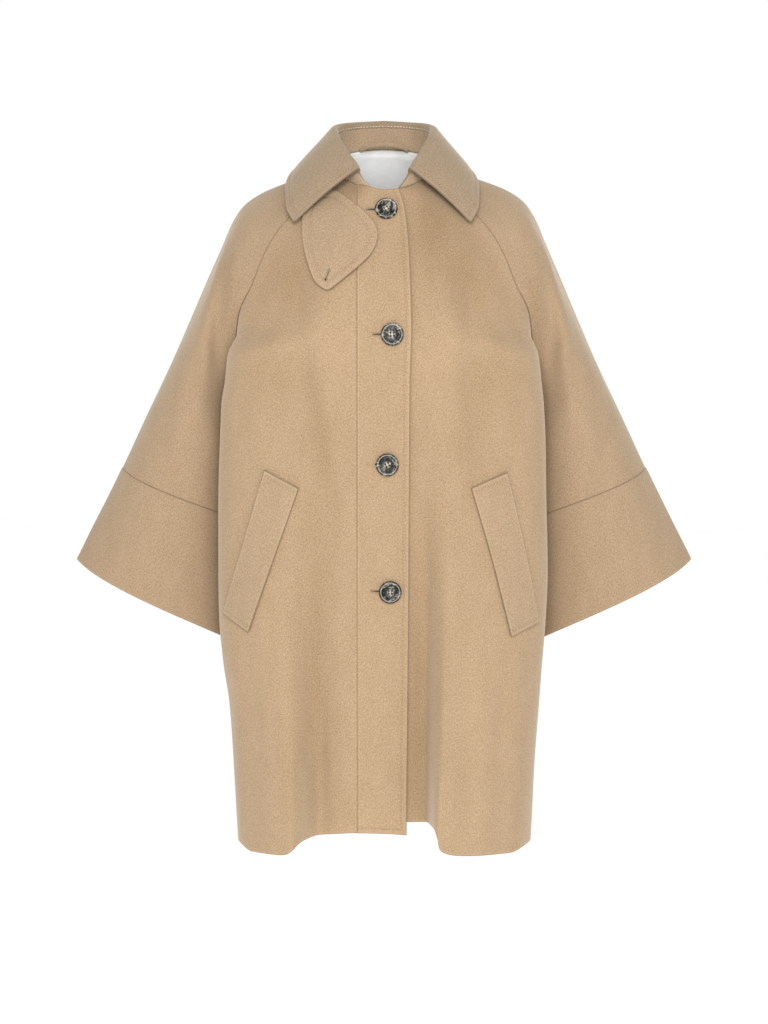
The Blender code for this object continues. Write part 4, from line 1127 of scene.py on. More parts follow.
def wall(name, outer, inner, flip, materials, marks, closed=False, lined=None, capped=False,
         flat_chart=False):
    """A closed smooth body between two grids of points, with its cloth coordinates."""
    rows, columns = outer.shape[:2]
    corners = np.concatenate([outer.reshape(-1, 3), inner.reshape(-1, 3)])
    index = np.arange(rows * columns).reshape(rows, columns)
    looped = np.concatenate([outer, outer[:, :1]], axis=1) if closed else outer
    if closed:
        index = np.concatenate([index, index[:, :1]], axis=1)
    wide = looped.shape[1]
    across = np.linalg.norm(np.diff(looped, axis=1), axis=2)
    across = np.concatenate([np.zeros((rows, 1)), np.cumsum(across, axis=1)], axis=1)
    across = across - across[:, wide // 2:wide // 2 + 1]
    down = np.linalg.norm(np.diff(looped, axis=0), axis=2)
    down = np.concatenate([np.zeros((1, wide)), np.cumsum(down, axis=0)], axis=0)
    places = looped[..., [0, 2]] if flat_chart else np.stack([across, down], axis=2)
    places = places.reshape(-1, 2)
    flat = np.arange(rows * wide).reshape(rows, wide)
    back = rows * columns
    faces = []
    spots = []
    groups = []

    def add(quads, uv_quads, group):
        faces.append(quads.reshape(-1, 4))
        spots.append(uv_quads.reshape(-1, 4))
        groups.append(np.broadcast_to(group, quads.shape[:-1]).reshape(-1))

    def cell(grid):
        return grid[:-1, :-1], grid[:-1, 1:], grid[1:, 1:], grid[1:, :-1]

    a, b, c, d = cell(index)
    ua, ub, uc, ud = cell(flat)
    inside = 0 if lined is None else lined.astype(int)
    add(np.stack([a, b, c, d], axis=-1), np.stack([ua, ub, uc, ud], axis=-1), 0)
    add(np.stack([a, d, c, b], axis=-1) + back, np.stack([ua, ud, uc, ub], axis=-1), inside)
    borders = [(index[0], flat[0], True)]
    if not capped:
        borders.append((index[-1], flat[-1], False))
    if not closed:
        borders.append((index[:, 0], flat[:, 0], False))
        borders.append((index[:, -1], flat[:, -1], True))
    for line, uv_line, turn in borders:
        a, b = line[:-1], line[1:]
        ua, ub = uv_line[:-1], uv_line[1:]
        quad = np.stack([a, a + back, b + back, b], axis=-1)
        uv_quad = np.stack([ua, ua, ub, ub], axis=-1)
        add(quad if turn else quad[:, ::-1], uv_quad if turn else uv_quad[:, ::-1], 0)
    faces = np.concatenate(faces)
    spots = np.concatenate(spots)
    groups = np.concatenate(groups)
    polygons = faces.tolist()
    if capped:
        ring = index[-1, :-1] if closed else index[-1]
        polygons += [ring.tolist(), (ring + back).tolist()[::-1]]
    if flip:
        polygons = [polygon[::-1] for polygon in polygons]
        spots = spots[:, ::-1]
    mesh = bpy.data.meshes.new(name)
    mesh.from_pydata(corners.tolist(), [], polygons)
    mesh.polygons.foreach_set("use_smooth", np.ones(len(polygons), bool))
    tones = np.concatenate([groups, np.zeros(len(polygons) - len(groups), int)])
    mesh.polygons.foreach_set("material_index", tones.astype(np.int32))
    layer = mesh.uv_layers.new(name="cloth")
    chart = np.zeros((len(mesh.loops), 2))
    chart[:spots.size] = places[spots.reshape(-1)]
    layer.data.foreach_set("uv", chart.reshape(-1))
    for key, values in marks.items():
        mesh.attributes.new(key, "FLOAT", "POINT").data.foreach_set(
            "value", np.concatenate([values.reshape(-1)] * 2).astype(np.float32))
    for material in materials:
        mesh.materials.append(material)
    mesh.update()
    return added(name, mesh)


# Stitches

def stitch_tree():
    """Lays stitches of one size along runs, all turned with the cloth's face."""
    tree = bpy.data.node_groups.new("stitch_run", "GeometryNodeTree")
    sockets = {}
    for label, kind in (("Runs", "NodeSocketGeometry"), ("Pitch", "NodeSocketFloat"),
                        ("Size", "NodeSocketVector"), ("Face", "NodeSocketVector"),
                        ("Seed", "NodeSocketInt"), ("Thread", "NodeSocketMaterial")):
        sockets[label] = tree.interface.new_socket(label, in_out="INPUT", socket_type=kind)
    tree.interface.new_socket("Stitches", in_out="OUTPUT", socket_type="NodeSocketGeometry")

    def node(kind, **settings):
        made = tree.nodes.new(kind)
        for key, value in settings.items():
            setattr(made, key, value)
        return made

    start = node("NodeGroupInput").outputs
    curve = node("GeometryNodeMeshToCurve")
    spaced = node("GeometryNodeResampleCurve", mode="LENGTH")
    bead = node("GeometryNodeMeshIcoSphere")
    bead.inputs["Radius"].default_value = 0.5
    bead.inputs["Subdivisions"].default_value = 2
    sized = node("GeometryNodeTransform")
    tangent = node("GeometryNodeInputTangent")
    along = node("FunctionNodeAlignRotationToVector", axis="X")
    facing = node("FunctionNodeAlignRotationToVector", axis="Z", pivot_axis="X")
    uneven = node("FunctionNodeRandomValue", data_type="FLOAT_VECTOR")
    uneven.inputs["Min"].default_value = (0.88, 0.9, 0.85)
    uneven.inputs["Max"].default_value = (1.06, 1.1, 1.1)
    placed = node("GeometryNodeInstanceOnPoints")
    real = node("GeometryNodeRealizeInstances")
    smooth = node("GeometryNodeSetShadeSmooth")
    finish = node("GeometryNodeSetMaterial")
    end = node("NodeGroupOutput")
    for source, target in (
        (start["Runs"], curve.inputs["Mesh"]),
        (curve.outputs["Curve"], spaced.inputs["Curve"]),
        (start["Pitch"], spaced.inputs["Length"]),
        (bead.outputs["Mesh"], sized.inputs["Geometry"]),
        (start["Size"], sized.inputs["Scale"]),
        (tangent.outputs["Tangent"], along.inputs["Vector"]),
        (along.outputs["Rotation"], facing.inputs["Rotation"]),
        (start["Face"], facing.inputs["Vector"]),
        (start["Seed"], uneven.inputs["Seed"]),
        (spaced.outputs["Curve"], placed.inputs["Points"]),
        (sized.outputs["Geometry"], placed.inputs["Instance"]),
        (facing.outputs["Rotation"], placed.inputs["Rotation"]),
        (uneven.outputs["Value"], placed.inputs["Scale"]),
        (placed.outputs["Instances"], real.inputs["Geometry"]),
        (real.outputs["Geometry"], smooth.inputs["Geometry"]),
        (smooth.outputs["Geometry"], finish.inputs["Geometry"]),
        (start["Thread"], finish.inputs["Material"]),
        (finish.outputs["Geometry"], end.inputs["Stitches"]),
    ):
        tree.links.new(source, target)
    return tree, sockets


def sewn(name, runs, pitch, size, thread, face=(0.0, -1.0, 0.0)):
    """One mesh of all the stitches along the runs, each a line of points."""
    tree, sockets = SEWING
    corners = np.concatenate(runs)
    edges = []
    first = 0
    for run in runs:
        edges += [(first + i, first + i + 1) for i in range(len(run) - 1)]
        first += len(run)
    mesh = bpy.data.meshes.new(name + "_runs")
    mesh.from_pydata(corners.tolist(), edges, [])
    guide = added(name + "_runs", mesh)
    made = guide.modifiers.new("stitches", "NODES")
    made.node_group = tree
    for label, value in (("Pitch", pitch), ("Size", size), ("Face", face), ("Seed", STITCH_SEED),
                         ("Thread", thread)):
        made[sockets[label].identifier] = value
    bpy.context.view_layer.update()
    graph = bpy.context.evaluated_depsgraph_get()
    result = bpy.data.meshes.new_from_object(guide.evaluated_get(graph))
    result.name = name
    bpy.data.objects.remove(guide)
    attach(added(name, result), BODY)


def beside(values, far, border, inset):
    """What a grid of points or numbers holds on a line at one distance from a border."""
    lengthwise = border in ("first", "last")
    grid = values if lengthwise else values.swapaxes(0, 1)
    reach = far[border] if lengthwise else far[border].T
    line = []
    for row, away in zip(grid, reach):
        order = np.argsort(away)
        channels = row[order].reshape(len(row), -1).T
        line.append([np.interp(inset, away[order], channel) for channel in channels])
    return np.squeeze(np.array(line))


# Cloth pieces

def cut_size(outer):
    """Greatest width and length of a grid, measured over the cloth."""
    across = np.linalg.norm(np.diff(outer, axis=1), axis=2).sum(axis=1).max()
    down = np.linalg.norm(np.diff(outer, axis=0), axis=2).sum(axis=0).max()
    return max(across * CUT_EASE, NARROWEST_CUT), max(down * CUT_EASE, NARROWEST_CUT)


def declare(piece, nodes, size):
    """Ride, stand for the solid and state the flat cut."""
    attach(piece, BODY)
    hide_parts(*nodes)
    width, length = size
    surface = sum(polygon.area for polygon in piece.data.polygons)
    area = min(surface / 2, width * length)
    CUTS.append((piece.name, width, length, area))


def finished(panel, seams, free=(), stitched=(), inset=PLACKET_STITCH, fade=12 * MM):
    """Give a panel its uneven surface, rounded edges, seams and stitch grooves."""
    far = border_distances(panel.grid)
    nearest = np.min([far[border] for border in far], axis=0)
    uneven = ripple(panel.grid, *PANEL_WAVES) * UNDULATION * smoothstep(0.0, fade, nearest)
    outer_drop, inner_drop, mark, edge = relief(far, panel.cloth, seams, free, stitched, inset)
    panel.outer = panel.outer + panel.normals * (uneven - outer_drop)[..., None]
    panel.inner = panel.inner + panel.normals * (uneven + inner_drop)[..., None]
    panel.far = far
    panel.marks = {"seam": mark, "edge": edge, "nap_and_shade": nap_and_shade_marks(panel.grid)}
    return panel


def body_and_sleeves():
    """The panels of the coat, joined along their seams."""
    right = front_right_grid()
    placket = placket_grid(right)
    panels = [
        Panel("front_right", right, CLOTH, False, (-1, -1)),
        Panel("front_placket", placket, PLACKET_CLOTH, True, proud=PLACKET_PROUD),
        Panel("front_left", front_left_grid(), CLOTH, True, (-1, -1)),
        Panel("back", back_grid(), CLOTH, False, (-1, 1)),
    ]
    for side, hand in ((-1, "right"), (1, "left")):
        for part, raglan, shape, y_sign in (
            ("front", FRONT_RAGLAN, SLEEVE_FRONT, -1), ("back", BACK_RAGLAN, SLEEVE_BACK, 1)
        ):
            grid = sleeve_grid(side, raglan, shape, RAGLAN_ROWS + SLEEVE_ROWS)
            flip = (side < 0) == (part == "back")
            panels.append(Panel(f"sleeve_{part}_{hand}", grid, CLOTH, not flip, (1, y_sign)))
    named = {panel.name: panel for panel in panels}
    line = neck_line(named)
    parts = neck_parts(line)
    stand = Panel("collar_stand", stand_grid(line, parts), STAND_CLOTH, False)
    join_panels(panels + [stand])
    named["collar_stand"] = stand
    return named, parts


def neck_line(named):
    """Points of the neck seam, from the overlapping front end round the back."""
    placket = named["front_placket"].grid[0]
    start = int(np.argmin(abs(placket[:, 0] + STAND_START_X)))
    stretches = [
        placket[start::-1],
        named["front_right"].grid[0],
        named["sleeve_front_right"].grid[0, ::-1],
        named["sleeve_back_right"].grid[0],
        named["back"].grid[0],
        named["sleeve_back_left"].grid[0, ::-1],
        named["sleeve_front_left"].grid[0],
        named["front_left"].grid[0, :UNDERLAP_COLUMNS - 1:-1],
    ]
    line = stretches[0]
    for stretch in stretches[1:]:
        line = np.vstack([line, stretch[1:]])
    return line


def collar_points(kind, parts):
    """Points of the collar's top or edge line, part 0 at the back, 1 at the front."""
    side = np.where(parts < 0, -1.0, 1.0)
    line = np.stack([at(COLLAR, f"{kind}_{axis}", "round", abs(parts)) for axis in "xyz"], axis=1)
    spread = np.where(side > 0, LEAF_LEFT_SPREAD, 1.0) if kind == "edge" else 1.0
    line[:, 0] *= side * spread
    return line * MM


def neck_parts(line):
    """How far round each point of the neck seam is: 0 at the back, -1 and 1 in front."""
    run = distances_along(line)
    back = run[np.argmin(abs(line[:, 0]) - line[:, 1])]
    return np.where(run < back, (run - back) / back, (run - back) / (run[-1] - back))


def stand_grid(line, parts):
    """The collar stand, its top row first and the neck seam last."""
    top = collar_points("top", parts)
    out = units(top * (1, 1, 0))
    rows = []
    shares = 1.0 - np.concatenate([[0.0, 0.012, 0.03, 0.06], np.linspace(0.1, 0.9, STAND_ROWS),
                                   [0.94, 0.97, 0.988, 1.0]])
    for share in shares:
        swell = math.sin(math.pi * share) * STAND_BOW
        rows.append(line + (top - line) * share + out * swell)
    rows[-1] = line
    return np.array(rows)


def leaf_grid(stand_inner, stand_outer, parts):
    """The turned-down collar, from the top of the stand over the roll to its edge."""
    ends = np.array(WIDE_STITCHED_NEAR) * MM / LEAF_HALF_RUN
    middle = np.linspace(-1 + ends[-1], 1 - ends[-1], LEAF_COLUMNS)
    places = np.concatenate([-1 + ends[:-1], middle, (1 - ends[:-1])[::-1]])
    top = collar_points("top", places)
    along = np.gradient(top, places, axis=0)
    reach = np.exp(-((places[:, None] - places) * LEAF_HALF_RUN / ROLL_EVENNESS) ** 2)
    reach = reach * np.gradient(places)
    out = reach @ picked(stand_outer - stand_inner, parts, places)
    forward = units(along)
    out = units(out - forward * (out * forward).sum(axis=1, keepdims=True))
    inner = top - out * STAND_CLOTH
    rise = units(np.cross(out, along))
    rise = rise * np.sign(rise[:, 2:])
    roll = bezier(tuple((o, u, 0.0) for o, u in ROLL_CURVE), ROLL_ROWS) * MM
    rolled = [inner + out * o + rise * u for o, u, _ in roll]
    edge = collar_points("edge", places)
    bulge = at(COLLAR, "bulge", "round", abs(places))[:, None] * MM
    fall = edge - rolled[-1]
    swell = units(np.cross(fall, along))
    middle = len(swell) // 2
    swell[middle] *= np.sign(swell[middle] @ (out + rise)[middle])
    for order in (range(middle + 1, len(swell)), range(middle - 1, -1, -1)):
        last = middle
        for i in order:
            swell[i] *= 1.0 if swell[i] @ swell[last] >= 0.0 else -1.0
            last = i
    shares = np.linspace(0.0, 1.0, FALL_POINTS)[1:]
    falling = [rolled[-1] + fall * share + swell * bulge * math.sin(math.pi * share) ** 0.9
               for share in shares]
    dense = np.array(rolled + falling).transpose(1, 0, 2)
    from_end = (1.0 - abs(places)) * LEAF_HALF_RUN
    short = LEAF_CORNER - np.sqrt(LEAF_CORNER ** 2 - np.maximum(LEAF_CORNER - from_end, 0.0) ** 2)
    columns = []
    for column, cut in zip(dense, short):
        run = distances_along(column)
        column = picked(column, run, np.linspace(0.0, run[-1] - cut, len(column)))
        columns.append(respace(column, (0.0, 0.5, 1.2, 2.0), WIDE_STITCHED_NEAR,
                               LEAF_FALL_ROWS + ROLL_ROWS))
    return np.array(columns).transpose(1, 0, 2)


def sew_collar(stand, parts, lit_stand_wool, wool, pale_thread, runs):
    """The stand and the leaf, with the stand's facing row and the leaf's topstitching."""
    top_inner, top_outer = stand.inner[0].copy(), stand.outer[0].copy()
    finished(stand, {"bottom": NECK_SEAM}, free=("first", "last"))
    stand.marks["nap_and_shade"] *= 0.0
    piece = wall("stand_of_collar", stand.outer, stand.inner, stand.flip, [lit_stand_wool], stand.marks)
    declare(piece, ["collar_stand"], cut_size(stand.outer))
    grid = leaf_grid(top_inner, top_outer, parts)
    normals = grid_normals(grid)
    far = border_distances(grid)
    outer_drop, inner_drop, mark, edge = relief(
        far, LEAF_CLOTH, {}, ("first", "last", "bottom"), ("first", "last", "bottom"),
        COLLAR_STITCH)
    nearest = np.minimum(far["bottom"], np.minimum(far["first"], far["last"]))
    uneven = ripple(grid, *LEAF_WAVES) * UNDULATION * smoothstep(0.0, EDGE_CALM, nearest)
    uneven = uneven * smoothstep(0.0, LEAF_TOP_CALM, far["top"])
    outer = grid + normals * (uneven - outer_drop)[..., None]
    inner = grid + normals * (uneven + inner_drop - LEAF_CLOTH)[..., None]
    piece = wall("leaf_of_collar", outer, inner, False, [wool], {"seam": mark, "edge": edge})
    declare(piece, ["collar_leaf"], cut_size(outer))
    across = np.linspace(-1.0, 1.0, len(grid[0]))
    row = beside(outer, far, "top", STAND_STITCH)
    sewn("collar_seam_stitches", [row[abs(across) < STAND_STITCH_REACH]], STITCH_PITCH,
         COLLAR_STITCH_SIZE, pale_thread, face=(0.0, -0.9, 0.45))
    first = beside(outer, far, "first", COLLAR_STITCH)
    last = beside(outer, far, "last", COLLAR_STITCH)
    below = beside(outer, far, "bottom", COLLAR_STITCH)
    down = beside(far["bottom"], far, "first", COLLAR_STITCH) > COLLAR_STITCH
    down_last = beside(far["bottom"], far, "last", COLLAR_STITCH) > COLLAR_STITCH
    wide = np.minimum(beside(far["first"], far, "bottom", COLLAR_STITCH),
                      beside(far["last"], far, "bottom", COLLAR_STITCH)) > COLLAR_STITCH
    top = ROLL_ROWS // 2
    runs.append(np.vstack([first[top:][down[top:]], below[wide],
                           last[top:][down_last[top:]][::-1]]))
    faces = grid_faces(*inner.shape[:2]).tolist()
    return BVHTree.FromPolygons(inner.reshape(-1, 3).tolist(), faces)


def grid_faces(rows, columns, closed=False):
    """Faces of a grid, open or closed round its columns."""
    index = np.arange(rows * columns).reshape(rows, columns)
    if closed:
        index = np.concatenate([index, index[:, :1]], axis=1)
    quads = np.stack([index[:-1, :-1], index[:-1, 1:], index[1:, 1:], index[1:, :-1]], axis=-1)
    return quads.reshape(-1, 4)


class FrontSurface:
    """The outer faces of the fronts and sleeves, to lay other pieces on."""

    def __init__(self, panels):
        corners = []
        faces = []
        first = 0
        for panel in panels:
            corners.append(panel.outer.reshape(-1, 3))
            faces += (first + grid_faces(*panel.outer.shape[:2])).tolist()
            first += len(corners[-1])
        self.tree = BVHTree.FromPolygons(np.concatenate(corners).tolist(), faces)

    def spot(self, x, z):
        """The foremost point at a place across and a height, also over a seam."""
        hits = [self.tree.ray_cast((x + shift, -1.0, z), (0.0, 1.0, 0.0))[0]
                for shift in (-1.5 * MM, -SEAM_GAP, SEAM_GAP, 1.5 * MM)]
        depth = min(hit.y for hit in hits if hit is not None)
        return np.array([x, depth, z])

    def spots(self, places):
        """The spots of a grid of places across and heights."""
        shape = places.shape[:-1]
        found = [self.spot(x, z) for x, z in places.reshape(-1, 2)]
        return np.array(found).reshape(*shape, 3)


def eased(grid, rounds):
    """A grid with the steps of what it lies on smoothed out of its depth."""
    depth = grid[..., 1].copy()
    for _ in range(rounds):
        padded = np.pad(depth, ((0, 0), (1, 1)), mode="edge")
        wide = (padded[:, :-2] + padded[:, 2:]) / 2
        padded = np.pad(depth, ((1, 1), (0, 0)), mode="edge")
        tall = (padded[:-2] + padded[2:]) / 2
        depth = np.minimum(depth, 0.5 * depth + 0.25 * wide + 0.25 * tall)
    smooth = grid.copy()
    smooth[..., 1] = depth
    return smooth


def tab_outline():
    """The petal's outline, evenly set out, as places across and heights."""
    heights = np.linspace(THROAT_TAB["z"][0], THROAT_TAB["z"][-1], TAB_OUTLINE_HEIGHTS)
    sides = []
    for column in ("x_right", "x_left"):
        x = at({"down": -THROAT_TAB["z"], "x": THROAT_TAB[column]}, "x", "down", -heights)
        sides.append(np.stack([x, np.zeros(len(x)), heights], axis=1))
    line = np.concatenate([sides[0], sides[1][::-1]]) * MM
    line = np.vstack([line, line[:1]])
    run = distances_along(line)
    even = picked(line, run, np.linspace(0.0, run[-1], TAB_OUTLINE_POINTS + 1))[:-1]
    for _ in range(3):
        even = (np.roll(even, 1, axis=0) + 2 * even + np.roll(even, -1, axis=0)) / 4
    return even[:, [0, 2]]


def outline_distance(places, outline):
    """Distance of places from the nearest edge of a closed outline."""
    start = outline[None]
    span = (np.roll(outline, -1, axis=0) - outline)[None]
    away = places[:, None] - start
    part = np.clip((away * span).sum(2) / (span ** 2).sum(2), 0.0, 1.0)
    return np.linalg.norm(away - part[..., None] * span, axis=2).min(axis=1)


def smooth_patch(spots):
    """A stiff patch over uneven cloth: one gentle curve that stays just in front of it."""
    x = spots[..., 0] / PATCH_SIZE
    z = (spots[..., 2] + PATCH_SIZE) / PATCH_SIZE
    terms = np.stack([x ** i * z ** j for i in range(4) for j in range(4 - i)], axis=-1)
    shown = 1.0 - smoothstep(TAB_HIDDEN_LOW, TAB_HIDDEN_HIGH, spots[..., 2])
    weight = (PATCH_HIDDEN_WEIGHT + shown)[..., None]
    flat = (terms * weight).reshape(-1, terms.shape[-1])
    target = (spots[..., 1:2] * weight).reshape(-1)
    shape = terms @ np.linalg.lstsq(flat, target, rcond=None)[0]
    over = (spots[..., 1] - shape)[shown > 0.9].min()
    shape = shape + min(over, 0.0)
    patch = spots.copy()
    patch[..., 1] = shape * shown + spots[..., 1] * (1.0 - shown)
    return patch


def held_under(outer, inner, cover):
    """Faces moved back where they would come through the piece that lies over them."""
    shift = np.zeros(outer.shape[:2])
    for i in range(outer.shape[0]):
        for j in range(outer.shape[1]):
            start = Vector(outer[i, j] + (0.0, -COVER_SEARCH, 0.0))
            hit = cover.ray_cast(start, (0.0, 1.0, 0.0), COVER_REACH)[0]
            if hit is not None:
                shift[i, j] = max(0.0, hit.y + COVER_GAP - outer[i, j, 1])
    for _ in range(6):
        shift = np.maximum(shift, (np.roll(shift, 1, axis=1) + np.roll(shift, -1, axis=1)) / 2)
    outer[..., 1] += shift
    inner[..., 1] += shift


def throat_tab(surface, wool, runs, cover):
    """The petal-shaped tab that hangs from under the right collar leaf."""
    outline = tab_outline()
    centre = np.array(TAB_CENTRE) * MM
    insets = np.array(TAB_RINGS) * MM
    shares = np.linspace(0.0, TAB_RAY_REACH, TAB_RAY_POINTS)
    rings = np.zeros((len(insets), len(outline), 2))
    for j, corner in enumerate(outline):
        ray = corner + (centre - corner) * shares[:, None]
        away = np.maximum.accumulate(outline_distance(ray, outline))
        rings[:, j] = corner + (centre - corner) * np.interp(insets, away, shares)[:, None]
    inner_rings = [rings[-1] + (centre - rings[-1]) * share for share in TAB_MIDDLE_RINGS]
    rings = np.concatenate([rings, inner_rings])
    spots = smooth_patch(surface.spots(rings))
    normals = grid_normals(spots, closed=True)
    normals = normals * np.sign(-normals[..., 1:2])
    for ring in range(len(insets) - 2, len(rings)):
        normals[ring] = unit(normals[len(insets) - 3].sum(axis=0)) * 0.6 + normals[ring] * 0.4
    normals = units(normals)
    base = spots + normals * TAB_CLEARANCE
    reach = np.concatenate([insets, np.full(len(inner_rings), insets[-1] + 20 * MM)])
    away = np.repeat(reach[:, None], len(outline), axis=1)
    far = {"top": away}
    outer_drop, inner_drop, mark, edge = relief(far, TAB_CLOTH, {}, ("top",), ("top",), TAB_STITCH)
    outer = base + normals * (TAB_CLOTH - outer_drop)[..., None]
    inner = base + normals * inner_drop[..., None]
    held_under(outer, inner, cover)
    flip = grid_normals(spots, closed=True)[3, 3] @ normals[3, 3] < 0
    piece = wall("throat_tab_petal", outer, inner, flip, [wool], {"seam": mark, "edge": edge},
                 closed=True, capped=True, flat_chart=True)
    size = (outline.max(axis=0) - outline.min(axis=0)) * TAB_CUT_EASE
    declare(piece, ["throat_tab"], size)
    stitch_ring = np.array([[np.interp(TAB_STITCH, insets, outer[:len(insets), j, i])
                             for i in range(3)] for j in range(len(outline))])
    shown = stitch_ring[:, 2] < TAB_STITCH_TOP
    order = np.nonzero(shown)[0]
    gap = int(np.argmax(np.diff(order) > 1)) if (np.diff(order) > 1).any() else -1
    order = np.roll(order, -(gap + 1))
    runs.append(stitch_ring[order])
    faces = grid_faces(*outer.shape[:2], closed=True).tolist()
    return BVHTree.FromPolygons(outer.reshape(-1, 3).tolist(), faces)


def crowded_ends(close, count):
    """Shares from 0 to 1, close near both ends and even between."""
    middle = np.linspace(close[-1], 1 - close[-1], count)[1:-1]
    return np.concatenate([close, middle, 1 - close[::-1]])


def pocket_welts(surface, wool, runs):
    """The slanted welt over each pocket mouth."""
    for name, corners in WELTS.items():
        side = -1 if name.endswith("right") else 1
        along = crowded_ends(np.array(WELT_NEAR) * MM / WELT_LENGTH, WELT_LONG_ROWS)
        across = crowded_ends(np.array(WELT_SIDE_NEAR), WELT_ACROSS)
        edges = {key: at(corners, key, "along", along)[:, None] * MM
                 for key in ("inner_x", "inner_z", "outer_x", "outer_z")}
        x = edges["inner_x"] + (edges["outer_x"] - edges["inner_x"]) * across
        z = edges["inner_z"] + (edges["outer_z"] - edges["inner_z"]) * across
        spots = eased(surface.spots(np.stack([x, z], axis=-1)), WELT_EASE_ROUNDS)
        normals = grid_normals(spots) * (-1.0 if side > 0 else 1.0)
        base = spots + normals * WELT_CLEARANCE
        far = border_distances(spots)
        borders = ("first", "last", "top", "bottom")
        outer_drop, inner_drop, mark, edge = relief(
            far, WELT_CLOTH, {}, borders, ("top", "bottom"), WELT_STITCH)
        rim = np.min([far[border] for border in borders], axis=0)
        # Painted shade: a dark rim round the welt
        mark = np.maximum(mark, WELT_RIM_SHADE * (1.0 - smoothstep(WELT_RIM_START, WELT_RIM_END, rim)))
        edge = edge * smoothstep(WELT_EDGE_START, WELT_EDGE_END, rim)
        outer = base + normals * (WELT_CLOTH - outer_drop)[..., None]
        inner = base + normals * inner_drop[..., None]
        piece = wall(name + "_patch", outer, inner, side > 0, [wool], {"seam": mark, "edge": edge})
        declare(piece, [name], cut_size(outer))
        for border in ("top", "bottom"):
            row = beside(outer, far, border, WELT_STITCH)
            to_side = np.minimum(beside(far["first"], far, border, WELT_STITCH),
                                 beside(far["last"], far, border, WELT_STITCH))
            runs.append(row[to_side > WELT_STITCH_MARGIN])


def cuffs(wool):
    """The deep cuff bands, each a tube that carries the sleeve on."""
    for side, hand in ((-1, "right"), (1, "left")):
        front = sleeve_grid(side, FRONT_RAGLAN, SLEEVE_FRONT, CUFF_ROWS)
        back = sleeve_grid(side, BACK_RAGLAN, SLEEVE_BACK, CUFF_ROWS)
        ring = creased(np.concatenate([front, back[:, -2:0:-1]], axis=1))
        flip = side < 0
        normals = grid_normals(ring, closed=True) * (-1.0 if flip else 1.0)
        far = border_distances(ring, closed=True)
        outer_drop, inner_drop, mark, edge = relief(
            far, CUFF_CLOTH, {"top": CUFF_SEAM}, ("bottom",), (), 1.0)
        nearest = np.minimum(far["top"], far["bottom"])
        uneven = ripple(ring, *CUFF_WAVES) * UNDULATION * smoothstep(0.0, EDGE_CALM, nearest)
        lift = CUFF_PROUD + uneven - outer_drop
        outer = ring + normals * lift[..., None]
        inner = ring + normals * (CUFF_PROUD - CUFF_CLOTH + uneven + inner_drop)[..., None]
        piece = wall(f"band_of_cuff_{hand}", outer, inner, flip, [wool],
                     {"seam": mark, "edge": edge}, closed=True)
        declare(piece, [f"cuff_{hand}"], cut_size(outer))


def mesh_of(form, name):
    """Turn an edited form into a mesh and let the form go."""
    mesh = bpy.data.meshes.new(name)
    form.to_mesh(mesh)
    form.free()
    return mesh


def horn_button(name, spin, horn):
    """A dished four-hole button on the XY plane, with its distance from the middle."""
    radius = BUTTON_RADIUS
    profile = button_profile()
    form = bmesh.new()
    points = [form.verts.new((x, 0.0, z)) for x, z in profile]
    edges = [form.edges.new(pair) for pair in zip(points, points[1:])]
    bmesh.ops.spin(form, geom=points + edges, cent=(0, 0, 0), axis=(0, 0, 1),
                   angle=2 * math.pi, steps=BUTTON_STEPS, use_merge=True)
    bmesh.ops.remove_doubles(form, verts=form.verts, dist=0.01 * MM)
    bmesh.ops.recalc_face_normals(form, faces=form.faces)
    body = added(name, mesh_of(form, name))
    form = bmesh.new()
    for quarter in range(4):
        angle = spin + math.radians(45 + 90 * quarter)
        place = Matrix.Translation((BUTTON_HOLE_SPACING * math.cos(angle),
                                    BUTTON_HOLE_SPACING * math.sin(angle), BUTTON_THICKNESS / 2))
        bmesh.ops.create_cone(form, cap_ends=True, segments=16, radius1=BUTTON_HOLE_RADIUS,
                              radius2=BUTTON_HOLE_RADIUS, depth=3 * BUTTON_THICKNESS, matrix=place)
    cutter = added("holes", mesh_of(form, "holes"))
    cut = body.modifiers.new("holes", "BOOLEAN")
    cut.object = cutter
    cut.operation = "DIFFERENCE"
    bpy.context.view_layer.update()
    graph = bpy.context.evaluated_depsgraph_get()
    mesh = bpy.data.meshes.new_from_object(body.evaluated_get(graph))
    bpy.data.objects.remove(cutter)
    bpy.data.objects.remove(body)
    mesh.name = name
    corners = np.zeros(len(mesh.vertices) * 3)
    mesh.vertices.foreach_get("co", corners)
    corners = corners.reshape(-1, 3)
    away = np.hypot(corners[:, 0], corners[:, 1]) / radius
    mesh.attributes.new("ring", "FLOAT", "POINT").data.foreach_set("value", away.astype(np.float32))
    mesh.polygons.foreach_set("use_smooth", np.ones(len(mesh.polygons), bool))
    mesh.materials.clear()
    mesh.materials.append(horn)
    return mesh


def button_profile():
    """Half the button's section: flat back, rounded flank, ring, groove and dish."""
    radius = BUTTON_RADIUS
    thick = BUTTON_THICKNESS
    flank = bezier(((0.84, 0.02, 0), (1.0, 0.05, 0), (1.03, 0.7, 0), (0.965, 0.9, 0)), 9)
    ring = bezier(((0.965, 0.9, 0), (0.93, 1.02, 0), (0.84, 1.06, 0), (0.79, 0.86, 0)), 9)
    groove = bezier(((0.79, 0.86, 0), (0.76, 0.72, 0), (0.71, 0.66, 0), (0.67, 0.72, 0)), 7)
    dish = bezier(((0.67, 0.72, 0), (0.58, 0.8, 0), (0.35, 0.62, 0), (0.0, 0.58, 0)), 12)
    line = [(0.0, 0.0)] + [(x, z) for x, z, _ in np.vstack([flank, ring[1:], groove[1:], dish[1:]])]
    return [(x * radius, z * thick) for x, z in line]


